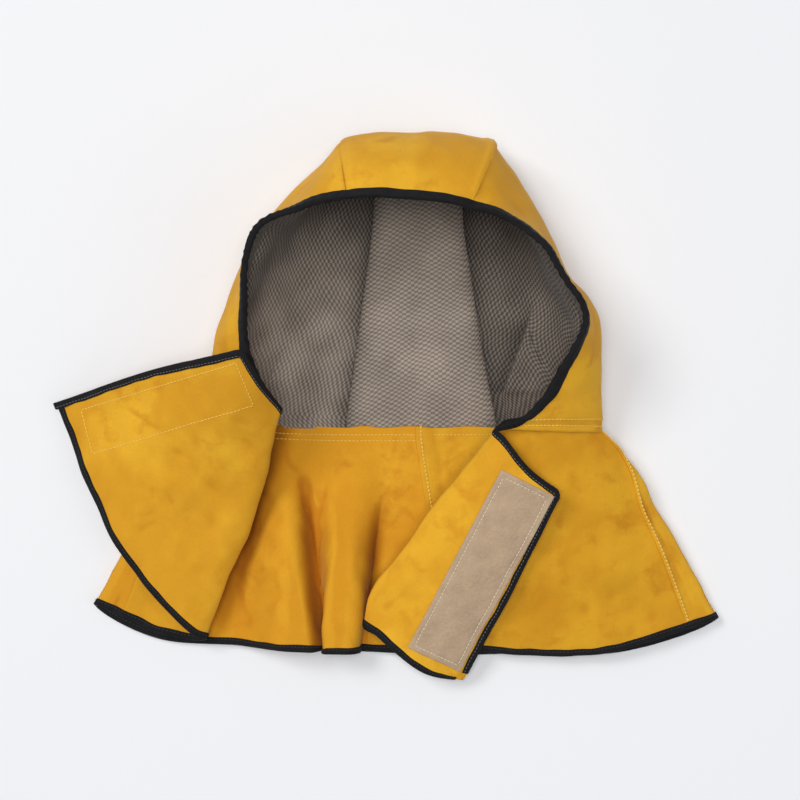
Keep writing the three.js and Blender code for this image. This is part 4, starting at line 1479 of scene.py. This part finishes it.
def stripPiece(side):
    strip = strips[side]
    size = np.array((strip["length"], strip["width"])) * mm
    counts = np.round(size / strips["spacing"]).astype(int)
    a, b = np.meshgrid(*(np.linspace(0, 1, count + 1) for count in counts))
    u, v, p, n = underStrip(strip, a.ravel(), b.ravel())
    inset = np.minimum(np.minimum(a, 1 - a) * size[0], np.minimum(b, 1 - b) * size[1]).ravel()
    pile = np.random.default_rng(strips["pileSeed"]).normal(size=len(p)) * strips["pile"]
    pile = pile * smooth(inset, *strips["pileFrom"])
    sewn = strips["sewnDepth"] * np.exp(-(((inset - strips["sewnInset"]) / strips["sewnWidth"]) ** 2))
    fromEdge = (1 - v) * speedAt(cape[strip["panel"]]["base"], u, v, "v", -1)
    overTape = cloth["tape"] + cloth["tapeGap"] - cloth["stripGap"] + strips["tapeRoom"]
    overTape = overTape * (1 - smooth(fromEdge, tape["leg"], tape["leg"] + strips["tapeFade"]))
    low = p + n * (cloth["stripGap"] + overTape)[:, None]
    high = low + n * (cloth["strip"] + pile - sewn)[:, None]
    name = "closureStrip" + side.capitalize()
    pieces[name] = sheetMesh(name, *(grid.reshape(*a.shape, 3) for grid in (low, high, n)), finish["strip"])
    return dress(pieces[name], "closure_strip_" + side)


def stripLines(side):  # the line of stitches round a strip
    strip = strips[side]
    a0, b0 = strips["sewnInset"] / mm / strip["length"], strips["sewnInset"] / mm / strip["width"]
    corners = np.array(((a0, b0), (1 - a0, b0), (1 - a0, 1 - b0), (a0, 1 - b0)))
    sunk = cloth["stripGap"] + cloth["strip"] - strips["threadSunk"]
    rounds = []
    for start, stop in zip(corners, np.roll(corners, -1, axis=0)):
        a, b = (start + (stop - start) * np.linspace(0, 1, strips["threadPoints"])[:, None]).T
        _, _, p, n = underStrip(strip, a, b)
        rounds.append((p + n * sunk, n))
    return rounds


stripSeams = []
for side in ("right", "left"):
    stripPiece(side)
    stripSeams += stripLines(side)
print("stage: strips")

# Stitches: short raised threads along lines on the cloth

thread = {
    "radius": 0.52 * mm,
    "pitch": 3.4 * mm,
    "length": 3.0 * mm,
    "rise": 0.4 * mm,
    "sunk": 0.3,  # shares of the radius: how deep it lies, how thin its ends are, and how flat it is
    "ends": 0.45,
    "flat": 0.8,
    "sides": 6,
    "rings": 5,
}
thickRadius = 0.95 * mm  # of the long seams
bindingThread = (0.3 * mm, 3.2 * mm, 2.2 * mm)  # radius, pitch and length


def sew(name, lines, material, radius=thread["radius"], pitch=thread["pitch"], length=thread["length"]):
    sides, rings = thread["sides"], thread["rings"]
    every = []
    for p, n in lines:
        run = np.concatenate(([0], np.cumsum(np.linalg.norm(np.diff(p, axis=0), axis=1))))
        count = int(run[-1] / pitch)
        if count < 1:
            continue
        first = (run[-1] - (count - 1) * pitch - length) / 2
        spots = first + np.arange(count)[:, None] * pitch + np.linspace(0, length, rings)[None]
        at = np.stack([np.interp(spots, run, p[:, k]) for k in range(3)], -1)
        up = unit(np.stack([np.interp(spots, run, n[:, k]) for k in range(3)], -1))
        ahead = unit(np.gradient(at, axis=1))
        side = unit(np.cross(ahead, up))
        arch = np.sin(np.linspace(0, math.pi, rings))
        centre = at + up * (arch * thread["rise"] - thread["sunk"] * radius)[None, :, None]
        thick = (radius * (thread["ends"] + (1 - thread["ends"]) * arch))[None, :, None, None]
        turn = np.arange(sides) * 2 * math.pi / sides
        cos, sin = np.cos(turn)[None, None, :, None], np.sin(turn)[None, None, :, None]
        ring = side[:, :, None] * (cos * thick) + up[:, :, None] * (sin * thick * thread["flat"])
        every.append(centre[:, :, None] + ring)
    points = np.concatenate(every)
    count = len(points)
    index = np.arange(count * rings * sides).reshape(count, rings, sides)
    after = np.roll(index, -1, axis=2)
    walls = np.stack((index[:, :-1], after[:, :-1], after[:, 1:], index[:, 1:]), -1).reshape(-1, 4)
    halves = ((0, 1, 2, 3), (0, 3, 4, 5))  # two faces close each end
    caps = [np.stack([index[:, ring, k] for k in half], -1) for ring in (0, rings - 1) for half in halves]
    pieces[name] = meshOf(name, points.reshape(-1, 3), np.concatenate([walls] + caps), material)
    return dress(pieces[name], None)


def lineOn(panel, u, v, height, face):
    u, v = np.broadcast_arrays(np.asarray(u, float), np.asarray(v, float))
    p, n = onPanel(panel, u, v, height)
    return p, n * face


seamPlaces = {  # shares across and along the panels
    "neckOutside": (0.972, 0.953),
    "neckOutsideEnds": (0.03, 0.89),
    "neckInside": (0.27, 0.345),
    "neckInsideEnds": {"backLeft": (0.01, 0.98), "backRight": (0.02, 0.97)},
    "backSeam": -0.01,
    "backSeamEnd": 0.975,
    "sideSeam": 0.998,
    "sideSeamEnd": 0.98475,
    "rectangle": [(-259, -3), (-127, 37), (-112, 1), (-248, -40)],  # left corner as seen from above, mm
    "points": {"neck": 400, "long": 300, "rectangle": 120},  # along each line
}


def neckLine(key, across):
    along = np.linspace(*seamPlaces["neckInsideEnds"][key], seamPlaces["points"]["neck"])
    return lineOn(cape[key], across, along, 0.0, -1)


outside = np.linspace(*seamPlaces["neckOutsideEnds"], seamPlaces["points"]["neck"])
neckLines = [lineOn(hood[side], outside, v, leather, 1)
             for side in ("left", "right") for v in seamPlaces["neckOutside"]]
neckLines += [neckLine("backLeft", across) for across in seamPlaces["neckInside"]]
neckLines += [neckLine("backRight", seamPlaces["neckInside"][0])]
sew("neckStitches", neckLines, finish["yellowThread"])

downBack, downSide = (np.linspace(0, seamPlaces[end], seamPlaces["points"]["long"])
                      for end in ("backSeamEnd", "sideSeamEnd"))
backLine = lineOn(cape["backRight"], downBack, seamPlaces["backSeam"], 0.0, -1)
sideLine = lineOn(cape["backRight"], downSide, seamPlaces["sideSeam"], leather, 1)
sew("panelStitches", [backLine, sideLine], finish["yellowThread"], thickRadius)

corners = place(seamPlaces["rectangle"])
rectangle = []
for start, stop in zip(corners, np.roll(corners, -1, axis=0)):
    path = start + (stop - start) * np.linspace(0, 1, seamPlaces["points"]["rectangle"])[:, None]
    spots = overPlan(cape["frontLeft"], *path.T, cornerGuess, True)
    rectangle.append(lineOn(cape["frontLeft"], *spots, 0.0, -1))
sew("cornerStitches", rectangle, finish["yellowThread"])
sew("stripStitches", stripSeams, finish["creamThread"])
sew("bindingStitches", tapeSeams["left"] + tapeSeams["right"], finish["greyThread"], *bindingThread)
sew("hemStitches", tapeSeams["hem"], finish["blackThread"], *bindingThread)
print("stage: stitches")
# Floor

floorLook = {"reach": 6.0, "drop": 0.5 * mm, "tint": (0.832, 0.838, 0.855, 1)}
floorMesh = bpy.data.meshes.new("floor")
reach = floorLook["reach"]
square = [(-reach, -reach, 0), (reach, -reach, 0), (reach, reach, 0), (-reach, reach, 0)]
floorMesh.from_pydata(square, [], [(0, 1, 2, 3)])
floor = bpy.data.objects.new("floor", floorMesh)
floor.location.z = -floorLook["drop"]
paleFloor = newMaterial("paleFloor", Base_Color=floorLook["tint"], Roughness=0.85, Specular_IOR_Level=0.1)[0]
floorMesh.materials.append(paleFloor)
scene.collection.objects.link(floor)

print("stage: done")
